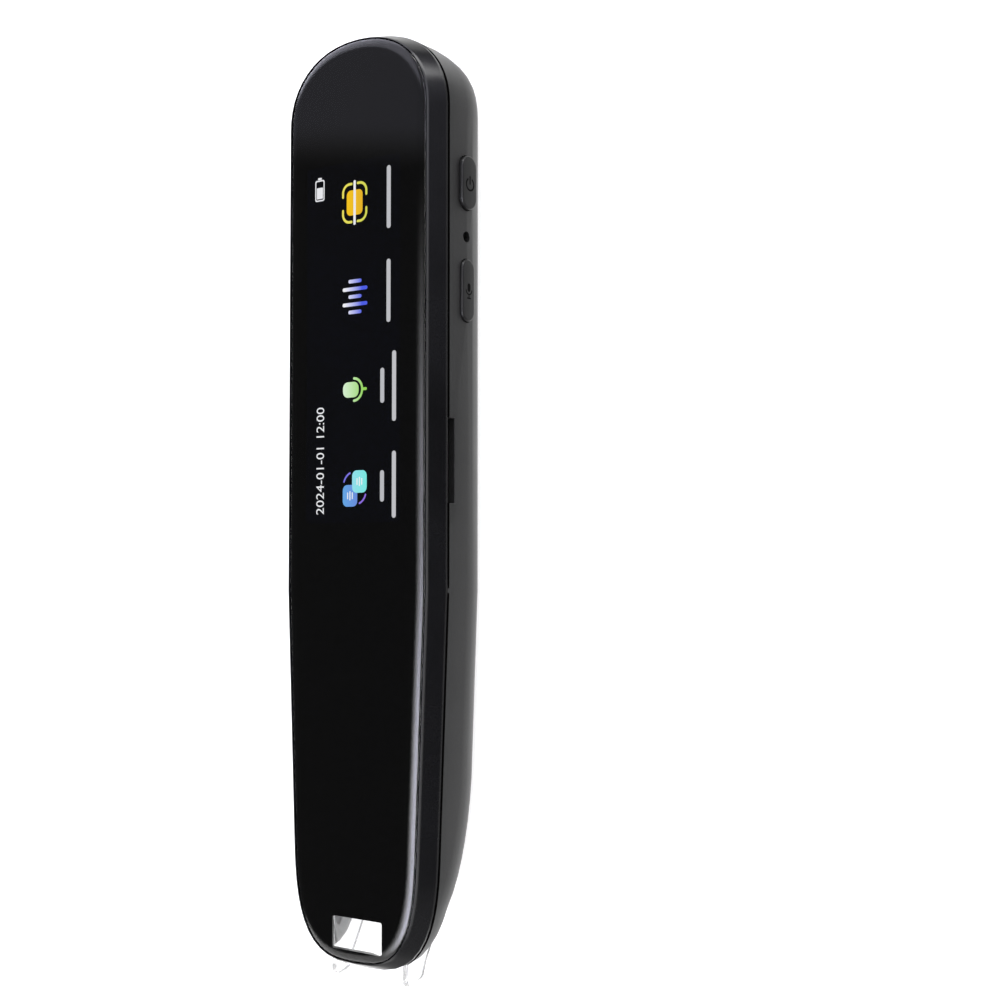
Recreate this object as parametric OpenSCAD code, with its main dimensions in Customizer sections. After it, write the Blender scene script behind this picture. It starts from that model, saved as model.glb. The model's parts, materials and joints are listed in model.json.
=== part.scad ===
// Scanning pen: a lofted two-part housing round a display, board, battery, speaker and
// scanning camera, with two side buttons and a sprung clear tip that slides in when pressed.
// X is the width with the buttons at +X, Y runs from the nose to the rounded top end and
// Z goes up from the rest face on the back to the display glass on the front.

/* [Body] */
// Length of the housing without the clear tip
body_l = 150; // [140:1:165]
// Width at the parting line
body_w = 33; // [31:0.5:38]
// Thickness from the flat back to the top of the glass
body_t = 16.6; // [16:0.1:19]
// Wall of the rear shell
shell_wall = 1.3; // [1.1:0.1:1.6]
// Radius of the long rear corners
corner_r = 8.5; // [7:0.5:9]
// Radius that rounds the top end towards the back
end_r = 8.5; // [7:0.5:9]
// Length of the rounded top end in plan
top_round = 13.5; // [12:0.5:16]
// Length of the rounded nose in plan
nose_round = 20; // [18:0.5:22]
// Radius of the long arc that thins the nose
nose_arc_r = 56; // [52:1:70]
// Distance from the nose end at which the nose arc begins
nose_from = 30; // [28:0.5:32]
// Distance from the nose end at which the sides begin to taper
taper_from = 60; // [55:1:66]
// Narrowing of each side per millimetre of length
taper = 0.04; // [0.02:0.005:0.045]

/* [Front frame and glass] */
// Depth of the front frame from the glass top to the parting line
frame_depth = 3.2; // [3.1:0.1:3.5]
// Width that the sloping frame shows beside the glass
frame_side = 2.1; // [1.8:0.1:2.3]
// The same at the top end
frame_top = 0.9; // [0.8:0.1:1.2]
// The same at the nose
frame_nose = 1.3; // [1.1:0.1:1.6]
// Thickness of the cover glass
glass_t = 1; // [0.8:0.1:1.1]
// Width of the curved edge of the glass
glass_edge = 1.8; // [1:0.1:2.2]
// Width and length of the clear window for the text being scanned
window_w = 10.4; // [9:0.2:12]
window_l = 5.1; // [4:0.1:5.6]
// Place of the window from the nose end
window_from = 3.1; // [2.9:0.1:3.6]

/* [Display] */
// Length and width of the lit area
display_l = 58.5; // [50:0.5:60]
display_w = 20; // [18:0.5:21]
// Distance of the lit area from the nose end
display_from = 71; // [68:0.5:72]
// Thickness of the display module
display_t = 1.5; // [1.2:0.1:1.6]

/* [Speaker] */
// Length and width of the speaker plate
plate_l = 32; // [29:0.5:34]
plate_w = 17; // [16:0.5:17.5]
// Distance of the plate from the top end
plate_end = 12.2; // [11.6:0.2:13.6]
// Depth of the shallow hollow round the plate's seat
hollow_d = 0.35; // [0.2:0.05:0.4]
// Length and width of one sound slot
slot_l = 7; // [5:0.1:7.4]
slot_w = 1.15; // [0.8:0.05:1.3]
// Distance from slot to slot
slot_pitch = 2.55; // [2.4:0.05:2.8]

/* [Side] */
// Length and width of the power button
power_l = 8.9; // [8:0.1:9.5]
power_w = 4; // [3.4:0.1:4.4]
// Height of the power button above the wall
power_h = 0.7; // [0.5:0.05:0.9]
// Centre of the power button from the top end
power_end = 25.1; // [24:0.1:26]
// Length and width of the voice button
voice_l = 10.2; // [9:0.1:10.6]
voice_w = 3.4; // [3:0.1:4]
// Height of the voice button above the wall
voice_h = 0.5; // [0.4:0.05:0.8]
// Centre of the voice button from the top end
voice_end = 42.3; // [42:0.1:43]
// Travel of both buttons
button_travel = 0.3; // [0.2:0.05:0.35]
// Diameter of the microphone hole
mic_d = 1.8; // [1.2:0.1:2]
// Centre of the microphone hole from the top end
mic_end = 33.7; // [33.2:0.1:34]
// Length and height of the card slot
card_l = 13.4; // [12.4:0.1:14]
card_h = 1.8; // [1.5:0.1:1.9]
// Start of the card slot from the nose end
card_from = 73.8; // [72:0.1:75]

/* [Clear tip] */
// Width over the cheeks
tip_w = 16.4; // [16:0.1:17]
// Thickness of a cheek
cheek_t = 1.2; // [1:0.05:1.4]
// Reach of the cheeks below the nose end
tip_reach = 2.3; // [1.6:0.1:2.8]
// Height of the crossbar in the direction of the travel
bar_h = 1.4; // [1:0.1:1.8]
// Top of the crossbar from the nose end
bar_top = 15.9; // [15:0.1:16.2]
// Travel when the tip is pressed on paper
tip_travel = 1.2; // [0.6:0.1:1.3]
// Wire diameter of the springs
spring_wire = 0.3; // [0.24:0.02:0.34]
// Coil diameter over the wire
spring_d = 1.9; // [1.6:0.1:2]
// Fitted length of a spring
spring_l = 8; // [7.4:0.1:8.4]
// Number of turns of a spring
spring_turns = 9; // [6:1:9]

/* [Battery] */
// Length, width and thickness of the battery
battery_l = 52; // [44:1:54]
battery_w = 20.6; // [18:0.2:20.8]
battery_t = 7.8; // [6:0.1:7.9]

/* [Hidden] */
$fn = 48;
eps = 0.01;

// Running gap round parts that slide
slide_gap = 0.12;
// Gap between parts that are only placed together
place_gap = 0.1;
// Dark line between the frame and the shell
part_gap = 0.12;

// Exponents that set how square the top end and the nose are in plan
top_n = 2.2;
nose_n = 3;
// Extra rear corner radius that the nose gains over its arc
corner_grow = 1.5;
// Least half width, which leaves a small flat at each end of a loft
least_half = 0.4;
// Stations and corner steps of the lofts
nose_steps = 12;
top_steps = 12;
corner_steps = 8;

nose_y = -body_l / 2 + nose_round;
crown_y = body_l / 2 - top_round;
front_z = body_t;
part_z = front_z - frame_depth;
floor_z = shell_wall;
glass_z = front_z - glass_t;
tape_t = 0.15;
ledge_z = glass_z - tape_t;

// Places near the top end, as distances from the nose end
plate_from = body_l - plate_end - plate_l;
power_at = body_l - power_end;
voice_at = body_l - voice_end;
mic_at = body_l - mic_end;

// Y of a place given by its distance from the nose end
function at(p) = p - body_l / 2;
// Distance from the nose end of a place given by its Y
function from_nose(y) = y + body_l / 2;
// Points of an arc in a plane
function arc_points(c, r, a0, a1, n) =
    [for (i = [0:n]) c + r * [cos(a0 + (a1 - a0) * i / n), sin(a0 + (a1 - a0) * i / n)]];
// Height of a rounded end at a share of its length
function bulge(t, n) = pow(max(0, 1 - pow(min(1, max(0, t)), n)), 1 / n);

// Half width of the plan at y, drawn in by s at the sides, t at the top end and b at the nose
function half_at(y, s, t, b) =
    let (side = body_w / 2 - s - taper * max(0, taper_from - from_nose(y)))
    max(least_half, side * bulge((y - crown_y) / (top_round - t), top_n)
        * bulge((nose_y - y) / (nose_round - b), nose_n));
// Height of the back surface at y, drawn in by s
function back_z(y, s) =
    let (p = from_nose(y), rise = body_l - end_r)
    p < nose_from
        ? nose_arc_r - sqrt(pow(nose_arc_r - s, 2) - pow(nose_from - p, 2))
        : p > rise
            ? end_r - sqrt(max(0, pow(end_r - s, 2) - pow(p - rise, 2)))
            : s;
// Corner radius of the section at y
function corner_at(y, s, half, zb, z_top) =
    min(corner_r - s + corner_grow * max(0, 1 - from_nose(y) / nose_from),
        half - eps, z_top - zb - 0.15);

// Height of the shell's inner surface at a distance x from the middle
function inner_z(x, y) =
    let (half = half_at(y, shell_wall, shell_wall, nose_wall), zb = back_z(y, shell_wall),
        r = corner_at(y, shell_wall, half, zb, part_z))
    zb + r - sqrt(max(0, r * r - pow(max(0, x - half + r), 2)));

// Stations along the length, close together where the ends turn
function stations(t, b) = concat(
    [for (i = [0:nose_steps]) nose_y - (nose_round - b) * cos(90 * i / nose_steps)],
    [for (k = [1:3]) nose_y + (nose_from - nose_round) * k / 3],
    [at((nose_from + taper_from) / 2), at(taper_from)],
    [for (i = [0:top_steps]) crown_y + (top_round - t) * sin(90 * i / top_steps)]);

// Section of the rear shell's form at y, open edge up at z_top
function section_at(y, s, t, b, z_top) =
    let (half = half_at(y, s, t, b), zb = back_z(y, s), r = corner_at(y, s, half, zb, part_z))
    concat([[-half, y, z_top]],
        [for (q = arc_points([-half + r, zb + r], r, 180, 270, corner_steps)) [q[0], y, q[1]]],
        [for (q = arc_points([half - r, zb + r], r, 270, 360, corner_steps)) [q[0], y, q[1]]],
        [[half, y, z_top]]);
// Plan outline at height z
function outline_at(z, s, t, b) =
    let (ys = stations(t, b), n = len(ys))
    concat([for (y = ys) [half_at(y, s, t, b), y, z]],
        [for (i = [n - 1:-1:0]) [-half_at(ys[i], s, t, b), ys[i], z]]);

// Solid through a list of rings with the same number of points
module loft(rings) {
    m = len(rings);
    n = len(rings[0]);
    faces = concat(
        [[for (i = [n - 1:-1:0]) i]],
        [for (j = [0:m - 2], i = [0:n - 1], k = [0:1])
            let (a = j * n + i, b = j * n + (i + 1) % n, c = a + n, d = b + n)
            k == 0 ? [a, b, c] : [b, d, c]],
        [[for (i = [0:n - 1]) (m - 1) * n + i]]);
    polyhedron(points = [for (r = rings) each r], faces = faces, convexity = 8);
}

// Form of the rear half drawn in by s, t and b, up to z_top
module rear_form(s, t, b, z_top) {
    loft([for (y = stations(t, b)) section_at(y, s, t, b, z_top)]);
}

// Plate with the pen's plan outline between two heights
module plan_plate(z0, z1, s, t, b) {
    loft([outline_at(z1, s, t, b), outline_at(z0, s, t, b)]);
}

// Block given by its middle in X, its start in Y and its base in Z
module block(x, y, z, w, l, h) {
    translate([x - w / 2, y, z])
        cube([w, l, h]);
}

// Flat shape with two round ends, long in Y, centred
module stadium(l, w) {
    square([w, l - w], center = true);
    for (k = [-1, 1])
        translate([0, k * (l - w) / 2])
            circle(d = w);
}

// Raised pill whose edge follows a half profile given as points of radius and height
module profiled_pill(l, w, profile) {
    straight = l - w;
    mirrored = concat(profile, [for (i = [len(profile) - 1:-1:0]) [-profile[i][0], profile[i][1]]]);
    translate([0, straight / 2, 0])
        rotate([90, 0, 0])
            linear_extrude(straight)
                polygon(mirrored);
    for (k = [-1, 1])
        translate([0, k * straight / 2, 0])
            rotate_extrude()
                polygon(concat(profile, [[0, profile[len(profile) - 1][1]], [0, profile[0][1]]]));
}

/* Front frame and glass */

// Slope of the frame: height above the parting line and share of the way in to the glass
frame_slope = [[0, 0], [0.38, 0.01], [0.5, 0.07], [2.6, 0.72], [2.78, 0.82], [2.92, 0.92]];
lip_gap = place_gap;
// Boss and screw that hold the board to the frame
boss_d = 3.4;
screw_d = 1.4;
screw_bore_d = 1.1;
screw_head_d = 2.5;
screw_head_t = 0.6;
board_t = 1;
board_z = part_z - 3;
board_top = board_z + board_t;
screw_x = body_w / 2 - 4.7;
screw_places = [for (p = [46, body_l - 13], k = [-1, 1]) [k * screw_x, at(p)]];
// Skirt that seats the shell, with its snap hooks
skirt_h = 1.3;
skirt_t = 0.9;
skirt_in = shell_wall + 0.15;
skirt_from = 40;
hook_l = 5;
hook_h = 0.5;
hook_out = 0.25;
hook_places = [64, 96, body_l - 17];
hook_z = part_z - skirt_h + 0.15;
// Display window in the frame, a little off the middle as the lit area is
display_x = -1;
display_rim = 1;
display_foot = 3;
panel_w = display_w + 2 * display_rim;
panel_l = display_l + display_rim + display_foot;
panel_y = at(display_from) - display_foot;
window_x = 0.9;
// Room in the frame beside and below the window, out of the slanted view through the glass
sight_side = 2.2;
sight_nose = 0.5;

module front_frame() {
    color([0.08, 0.08, 0.09])
    difference() {
        union() {
            loft([for (i = [len(frame_slope) - 1:-1:0])
                let (f = frame_slope[i][1])
                outline_at(part_z + frame_slope[i][0], f * frame_side, f * frame_top, f * frame_nose)]);
            frame_skirt();
            for (q = screw_places)
                translate([q[0], q[1], board_top])
                    cylinder(d = boss_d, h = part_z - board_top + eps);
        }
        plan_plate(ledge_z, front_z + 1,
            frame_side - lip_gap, frame_top - lip_gap, frame_nose - lip_gap);
        block(display_x, panel_y - place_gap, part_z - 1,
            panel_w + 2 * place_gap, panel_l + 2 * place_gap, 2 * frame_depth);
        block(display_x, panel_y - flex_room, part_z - 1, flex_w + 0.6, flex_room, 2 * frame_depth);
        block(window_x - sight_side / 2, at(window_from) - sight_nose, part_z - 1,
            window_w + sight_side, window_l + sight_nose, 2 * frame_depth);
        for (q = screw_places)
            translate([q[0], q[1], board_top - eps])
                cylinder(d = screw_bore_d, h = 3.4);
        block(body_w / 2, at(card_from) - 1, part_z - 2, 10, card_l + 2, 2);
        block(0, at(body_l) - 6, part_z - 2, 12, 8, 2);
    }
}

module frame_skirt() {
    intersection() {
        difference() {
            plan_plate(part_z - skirt_h, part_z + eps, skirt_in, skirt_in, skirt_in);
            plan_plate(part_z - 2 * skirt_h, part_z + 2 * eps,
                skirt_in + skirt_t, skirt_in + skirt_t, skirt_in + skirt_t);
        }
        block(0, at(skirt_from), part_z - skirt_h, body_w, body_l, 2 * skirt_h);
    }
    for (p = hook_places, k = [-1, 1])
        block(k * (body_w / 2 - skirt_in - skirt_t / 2 + hook_out / 2), at(p) - hook_l / 2, hook_z,
            skirt_t + hook_out, hook_l, hook_h);
}

// Curved edge of the glass: share of the edge width and drop below the top
glass_curve = [[0, 0.55], [0.06, 0.3], [0.22, 0.13], [0.55, 0.03], [1, 0]];

module cover_glass() {
    color([0.02, 0.02, 0.025])
    loft(concat(
        [for (i = [len(glass_curve) - 1:-1:0])
            let (d = glass_curve[i][0] * glass_edge)
            outline_at(front_z - glass_curve[i][1] * glass_t, frame_side + d, frame_top + d, frame_nose + d)],
        [outline_at(glass_z, frame_side, frame_top, frame_nose)]));
}

// Border of adhesive between the glass and the frame's ledge
tape_w = 1.1;

module glass_tape() {
    color([0.15, 0.15, 0.15])
    difference() {
        plan_plate(ledge_z, glass_z, frame_side, frame_top, frame_nose);
        plan_plate(ledge_z - 1, glass_z + 1, frame_side + tape_w, frame_top + tape_w, frame_nose + tape_w);
    }
}

module display_panel() {
    z0 = glass_z - display_t;
    glass_part = 0.9;
    color([0.05, 0.06, 0.1]) {
        block(display_x, panel_y, z0 + glass_part, panel_w, panel_l, display_t - glass_part);
        difference() {
            block(display_x, panel_y + 1.2, z0, panel_w, panel_l - 1.2, glass_part);
            block(display_x, panel_y + 2.2, z0 - 1, panel_w - 2, panel_l - 3.2, 1.3);
        }
    }
}

// Foam that backs the display against the board's parts
foam_t = 0.3;

module display_foam() {
    z0 = glass_z - display_t + 0.3 - foam_t;
    color([0.2, 0.2, 0.22])
    difference() {
        block(display_x, panel_y + 2.4, z0, panel_w - 2.4, panel_l - 3.6, foam_t);
        block(display_x, panel_y + 4.9, z0 - 1, panel_w - 7.4, panel_l - 8.6, 2);
    }
}

// Flat cable from the foot of the display to the board
flex_w = 10;
flex_t = 0.15;
flex_room = 1.6;

module display_flex() {
    z_hi = glass_z - display_t + 0.9 - flex_t;
    y0 = panel_y + 1.2;
    bend_r = (z_hi + flex_t - board_top) / 2;
    color([0.75, 0.45, 0.12])
    translate([display_x + flex_w / 2, 0, 0])
        rotate([0, -90, 0])
            linear_extrude(flex_w) {
                translate([z_hi, y0 - 0.6])
                    square([flex_t, 0.6]);
                translate([board_top + bend_r, y0 - 0.6])
                    intersection() {
                        difference() {
                            circle(r = bend_r);
                            circle(r = bend_r - flex_t);
                        }
                        translate([-bend_r, -bend_r])
                            square([2 * bend_r, bend_r + eps]);
                    }
                translate([board_top, y0 - 0.6])
                    square([flex_t, 3.5]);
            }
}

/* Rear shell */

// Cut-out for the clear tip
tip_gap = 0.7;
cut_half = tip_w / 2 + tip_gap;
cut_top = bar_top + tip_travel + 0.3;
cut_corner = 2;
// Seat of the speaker plate: lip beside the groove, ledge under the plate
lip_w = 0.55;
plate_t = 1;
plate_gap = 0.15;
plate_mid = at(plate_from + plate_l / 2);
hollow_w = 1.6;
ledge_in = 2;
// Button openings, the flat pockets behind them and the buttons' flanges
button_z = 8.6;
flange_out = 0.6;
flange_t = 0.45;
pocket_x = body_w / 2 - shell_wall + 0.05;
flange_x = pocket_x - place_gap;
// Card and cable openings
card_z = part_z - card_h;
usb_w = 8.94;
usb_h = 3.2;
usb_l = 7.4;
usb_z = board_z + board_t / 2;

module rear_shell() {
    color([0.16, 0.16, 0.17])
    difference() {
        union() {
            difference() {
                rear_form(0, 0, 0, part_z - part_gap);
                rear_form(shell_wall, shell_wall, nose_wall, part_z + 1);
            }
            shell_ribs();
        }
        translate([0, plate_mid, -1])
            linear_extrude(1 + plate_t)
                stadium(plate_l + 2 * plate_gap, plate_w + 2 * plate_gap);
        translate([0, plate_mid, 0])
            linear_extrude(floor_z + 0.05)
                stadium(plate_l - 2 * ledge_in, plate_w - 2 * ledge_in);
        seat_hollow();
        side_opening(power_at, power_l, power_w);
        side_opening(voice_at, voice_l, voice_w);
        translate([flange_x - 1, at(mic_at), button_z])
            rotate([0, 90, 0])
                cylinder(d = mic_d, h = 6);
        block(body_w / 2, at(card_from), card_z, 8, card_l, 3);
        for (p = hook_places, k = [-1, 1])
            block(k * (body_w / 2 - shell_wall), at(p) - hook_l / 2 - 0.2, hook_z - 0.1,
                2 * (hook_out + 0.05), hook_l + 0.4, hook_h + 0.2);
        translate([0, at(body_l) + 1, usb_z])
            rotate([90, 0, 0])
                linear_extrude(8)
                    rotate(90)
                        stadium(usb_w + 0.3, usb_h + 0.3);
        tip_cut();
        for (k = [-1, 1])
            block(k * (cut_half + lug_out) / 2, at(seat_at - seat_t) - place_gap, spring_z - lug_low - 0.25,
                lug_out - cut_half + 0.5, spring_l + seat_t + place_gap, lug_low + lug_high + 0.5);
    }
}

// Thickness of the shell's solid nose in plan
nose_wall = 2.2;

// Shallow hollow in the back that leaves a thin lip round the speaker plate
module seat_hollow() {
    half = plate_w / 2 + lip_w;
    steps = 6;
    curve = [for (i = [0:steps])
        [half + hollow_w * cos(90 * i / steps), hollow_d * sin(90 * i / steps)]];
    translate([0, plate_mid, 0])
        difference() {
            profiled_pill(plate_l + 2 * lip_w, plate_w + 2 * lip_w,
                concat([[half + hollow_w, -1]], curve));
            translate([0, 0, -2])
                linear_extrude(3)
                    stadium(plate_l + 2 * lip_w, plate_w + 2 * lip_w);
        }
}

module side_opening(p, l, w) {
    translate([flange_x - 0.5, at(p), button_z])
        rotate([0, 90, 0])
            linear_extrude(5)
                stadium(l, w);
    translate([pocket_x - 3, at(p), button_z])
        rotate([0, 90, 0])
            linear_extrude(3)
                stadium(l + 2 * flange_out + 0.4, w + 2 * flange_out + 0.4);
}

// Opening at the nose for the tip: between the cheeks' outer gaps and up to the crossbar
module tip_cut() {
    translate([0, 0, -1])
        linear_extrude(part_z + 3)
            union() {
                translate([-cut_half, at(-5)])
                    square([2 * cut_half, 5 + cut_top - cut_corner]);
                translate([-cut_half + cut_corner, at(-5)])
                    square([2 * (cut_half - cut_corner), 5 + cut_top]);
                for (k = [-1, 1])
                    translate([k * (cut_half - cut_corner), at(cut_top - cut_corner)])
                        circle(r = cut_corner);
            }
}

// Ribs inside the shell
rib_t = 0.7;
battery_from = 42;
ring_l = plate_l - 2 * ledge_in + 0.2;
ring_w = plate_w - 2 * ledge_in + 0.2;

module shell_ribs() {
    rib_x = battery_w / 2 + 0.2 + rib_t / 2;
    for (k = [-1, 1], p = [battery_from + 4, battery_from + battery_l - 10])
        block(k * rib_x, at(p), floor_z - 0.3, rib_t, 6, 5.5);
    for (p = [battery_from - 0.2 - rib_t, battery_from + battery_l + 0.2])
        block(0, at(p), floor_z - 0.1, 12, rib_t, 5);
    translate([0, plate_mid, floor_z - 0.3])
        linear_extrude(3.3)
            difference() {
                stadium(ring_l + 2 * rib_t, ring_w + 2 * rib_t);
                stadium(ring_l, ring_w);
            }
    for (p = [key_from - 1, key_from + key_l - 0.6])
        difference() {
            block(key_x, at(p), 3, 3, 1.6, 6.6);
            block(key_x, at(key_from) - 0.1, button_z - key_h / 2 - 0.1, key_t + 0.2, key_l + 0.2, 9);
        }
}

/* Speaker */

speaker_l = 27.2;
speaker_w = 12.2;
speaker_t = 4.2;
mesh_t = 0.15;
gasket_t = floor_z - plate_t - mesh_t + 0.2;

// Nine slots in three groups of three, turned by a third of a circle each
group_out = 4;
grille_x = -0.5;
grille_at = body_l - 21.3;

module sound_slots() {
    lean = slot_w / tan(60);
    for (g = [0:2])
        rotate(120 * g)
            translate(group_out * [cos(60), -sin(60)])
                for (i = [-1:1])
                    translate(i * slot_pitch * [cos(60), sin(60)])
                        polygon([[-slot_l / 2, -slot_w / 2], [slot_l / 2, -slot_w / 2],
                            [slot_l / 2 + lean, slot_w / 2], [-slot_l / 2 + lean, slot_w / 2]]);
}

module speaker_plate() {
    color([0.2, 0.2, 0.21])
    difference() {
        translate([0, plate_mid, 0])
            profiled_pill(plate_l, plate_w,
                [[plate_w / 2 - 0.15, 0], [plate_w / 2, 0.15], [plate_w / 2, plate_t]]);
        translate([grille_x, at(grille_at), -1])
            linear_extrude(2 + plate_t)
                mirror([1, 0])
                    sound_slots();
    }
}

module speaker_mesh() {
    color([0.05, 0.05, 0.05])
    translate([0, plate_mid, plate_t])
        linear_extrude(mesh_t)
            stadium(plate_l - 2 * ledge_in - 0.3, plate_w - 2 * ledge_in - 0.3);
}

module speaker_gasket() {
    color([0.12, 0.12, 0.12])
    translate([0, plate_mid, plate_t + mesh_t])
        linear_extrude(gasket_t)
            difference() {
                stadium(speaker_l - 0.2, speaker_w - 0.2);
                stadium(speaker_l - 3, speaker_w - 3);
            }
}

module speaker() {
    z0 = plate_t + mesh_t + gasket_t;
    roll = 1.1;
    color([0.3, 0.3, 0.32])
    translate([0, plate_mid, z0])
        difference() {
            profiled_pill(speaker_l, speaker_w, [[speaker_w / 2, 0], [speaker_w / 2, speaker_t - 1],
                [speaker_w / 2 - 1, speaker_t - 1], [speaker_w / 2 - 1, speaker_t]]);
            translate([0, 0, -1])
                linear_extrude(1.4)
                    difference() {
                        stadium(speaker_l - 2.6, speaker_w - 2.6);
                        stadium(speaker_l - 2.6 - 2 * roll, speaker_w - 2.6 - 2 * roll);
                    }
        }
}

/* Side keys */

key_x = body_w / 2 - 4.4;
key_t = 0.4;
key_h = 5;
key_from = body_l - 49.5;
key_l = 30.5;
switch_t = 0.9;
plunger_t = 0.25;
// Inner end of a button's pin, just clear of the plunger when the button is pressed
push_x = key_x + key_t / 2 + switch_t + plunger_t + button_travel + 0.05;

// Button with a rounded cap, a straight stem and a flange inside the wall
module side_button(p, l, w, h) {
    edge = 0.35;
    half = w / 2 - slide_gap;
    top = body_w / 2 + h - flange_x;
    profile = concat([[half, 0], [half, top - edge]],
        arc_points([half - edge, top - edge], edge, 0, 90, 5), [[0, top]]);
    translate([flange_x, at(p), button_z])
        rotate([0, 90, 0]) {
            profiled_pill(l - 2 * slide_gap, w - 2 * slide_gap, profile);
            translate([0, 0, -flange_t])
                linear_extrude(flange_t + eps)
                    stadium(l + 2 * flange_out, w + 2 * flange_out);
            translate([0, 0, push_x - flange_x])
                cylinder(d = 1.8, h = flange_x - push_x - flange_t + eps);
        }
}

module power_button() {
    color([0.12, 0.12, 0.13])
    side_button(power_at, power_l, power_w, power_h);
}

module voice_button() {
    color([0.12, 0.12, 0.13])
    side_button(voice_at, voice_l, voice_w, voice_h);
}

module key_board() {
    color([0.1, 0.3, 0.15])
    difference() {
        block(key_x, at(key_from), button_z - key_h / 2, key_t, key_l, key_h);
        translate([key_x - 1, at(mic_at), button_z])
            rotate([0, 90, 0])
                cylinder(d = 0.8, h = 2);
    }
}

// Tactile switch with a round plunger behind a button
module key_switch(p) {
    translate([key_x + key_t / 2, at(p), button_z])
        rotate([0, 90, 0]) {
            translate([-1.6, -1.9, 0])
                cube([3.2, 3.8, switch_t]);
            cylinder(d = 1.6, h = switch_t + plunger_t);
        }
}

module power_switch() {
    color([0.6, 0.6, 0.62])
    key_switch(power_at);
}

module voice_switch() {
    color([0.6, 0.6, 0.62])
    key_switch(voice_at);
}

module microphone() {
    color([0.75, 0.7, 0.5])
    difference() {
        block(key_x + key_t / 2 + 0.6, at(mic_at) - 1.7, button_z - 1.3, 1.2, 3.4, 2.6);
        translate([key_x + 0.8, at(mic_at), button_z])
            rotate([0, 90, 0])
                cylinder(d = 0.6, h = 2);
    }
}

/* Board and its parts */

board_in = 3.3;
board_from = 39;

module main_board() {
    color([0.05, 0.25, 0.12])
    difference() {
        translate([0, 0, board_z])
            linear_extrude(board_t)
                intersection() {
                    polygon([for (q = outline_at(0, board_in, board_in + 0.6, board_in)) [q[0], q[1]]]);
                    translate([-body_w / 2, at(board_from)])
                        square([body_w, body_l]);
                }
        for (q = screw_places)
            translate([q[0], q[1], board_z - 1])
                cylinder(d = screw_d + 0.2, h = 3);
        block(0, usb_y - 0.1, board_z - 1, usb_w + 0.3, usb_l + 1, 3);
        block(key_x - 0.4 + 5, at(key_from) - 1, board_z - 1, 10, key_l + 2, 3);
    }
}

module board_screws() {
    head_z = board_z - screw_head_t;
    color([0.7, 0.7, 0.72])
    for (q = screw_places)
        translate([q[0], q[1], head_z])
            difference() {
                union() {
                    cylinder(d = screw_head_d, h = screw_head_t);
                    cylinder(d = screw_bore_d - 0.04, h = screw_head_t + board_t + 2.6);
                }
                for (a = [0, 90])
                    rotate(a)
                        translate([-0.7, -0.15, -eps])
                            cube([1.4, 0.3, 0.35]);
            }
}

// Widths, lengths and thicknesses of the chips
processor_w = 12;
processor_t = 1;
memory_w = 11;
memory_l = 9;
memory_t = 0.9;
radio_w = 14;
radio_l = 12;
radio_t = 1.5;
power_chip_w = 5;
power_chip_t = 0.8;

// Chip body on top of the board, given by its middle and size
module chip(x, p, w, l, h) {
    block(x, at(p) - l / 2, board_top, w, l, h);
}

module processor() {
    color([0.1, 0.1, 0.1])
    chip(-4, body_l - 46, processor_w, processor_w, processor_t);
}

module memory_chip() {
    color([0.12, 0.12, 0.12])
    chip(-5, body_l - 62, memory_w, memory_l, memory_t);
}

module radio_shield() {
    color([0.75, 0.75, 0.77])
    chip(-2, body_l - 28, radio_w, radio_l, radio_t);
}

module power_chip() {
    color([0.1, 0.1, 0.1])
    chip(-6, 56, power_chip_w, power_chip_w, power_chip_t);
}

card_x = body_w / 2 - 7.9;
card_cage_w = 12.4;
card_cage_t = 1.5;

module card_socket() {
    cage_l = card_l - 0.8;
    color([0.78, 0.78, 0.8])
    difference() {
        block(card_x, at(card_from) + 0.4, board_top, card_cage_w, cage_l, card_cage_t);
        block(card_x + 1, at(card_from) + 0.4 + 0.7, board_top + 0.25, card_cage_w, 11.2, 1);
    }
}

usb_y = at(body_l) - 0.5 - usb_l;

module usb_socket() {
    wall = 0.3;
    color([0.75, 0.75, 0.77])
    translate([0, usb_y + usb_l, usb_z])
        rotate([90, 0, 0]) {
            difference() {
                linear_extrude(usb_l)
                    rotate(90)
                        stadium(usb_w, usb_h);
                translate([0, 0, -1])
                    linear_extrude(usb_l)
                        rotate(90)
                            stadium(usb_w - 2 * wall, usb_h - 2 * wall);
            }
            translate([-3.3, -0.35, 1])
                cube([6.6, 0.7, usb_l - 1.5]);
        }
}

battery_z = floor_z + 0.5;

module battery() {
    edge = 1.2;
    color([0.75, 0.76, 0.78]) {
        translate([0, at(battery_from) + battery_l - 2, battery_z])
            rotate([90, 0, 0])
                linear_extrude(battery_l - 2)
                    union() {
                        translate([-battery_w / 2 + edge, 0])
                            square([battery_w - 2 * edge, battery_t]);
                        translate([-battery_w / 2, edge])
                            square([battery_w, battery_t - 2 * edge]);
                        for (k = [-1, 1], z = [edge, battery_t - edge])
                            translate([k * (battery_w / 2 - edge), z])
                                circle(r = edge);
                    }
        block(0, at(battery_from) + battery_l - 2 - eps, battery_z + battery_t - 2,
            battery_w - 3, 2, 1.2);
    }
}

module battery_pad() {
    color([0.85, 0.85, 0.8])
    block(0, at(battery_from) + 5, floor_z, battery_w - 6.6, battery_l - 14, battery_z - floor_z);
}

/* Clear tip and its springs */

cheek_in = tip_w / 2 - cheek_t;
tip_proud = 0.1;
tip_front_z = part_z - 0.8;
foot_r = 5;
foot_corner = 0.8;
tip_corner = 2.2;
tip_round = 0.4;
throat_corner = 1;

// Drop of a rounded edge of radius r at a distance e from the side
function edge_drop(e, r) = r - sqrt(r * r - pow(r - min(e, r), 2));

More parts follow.
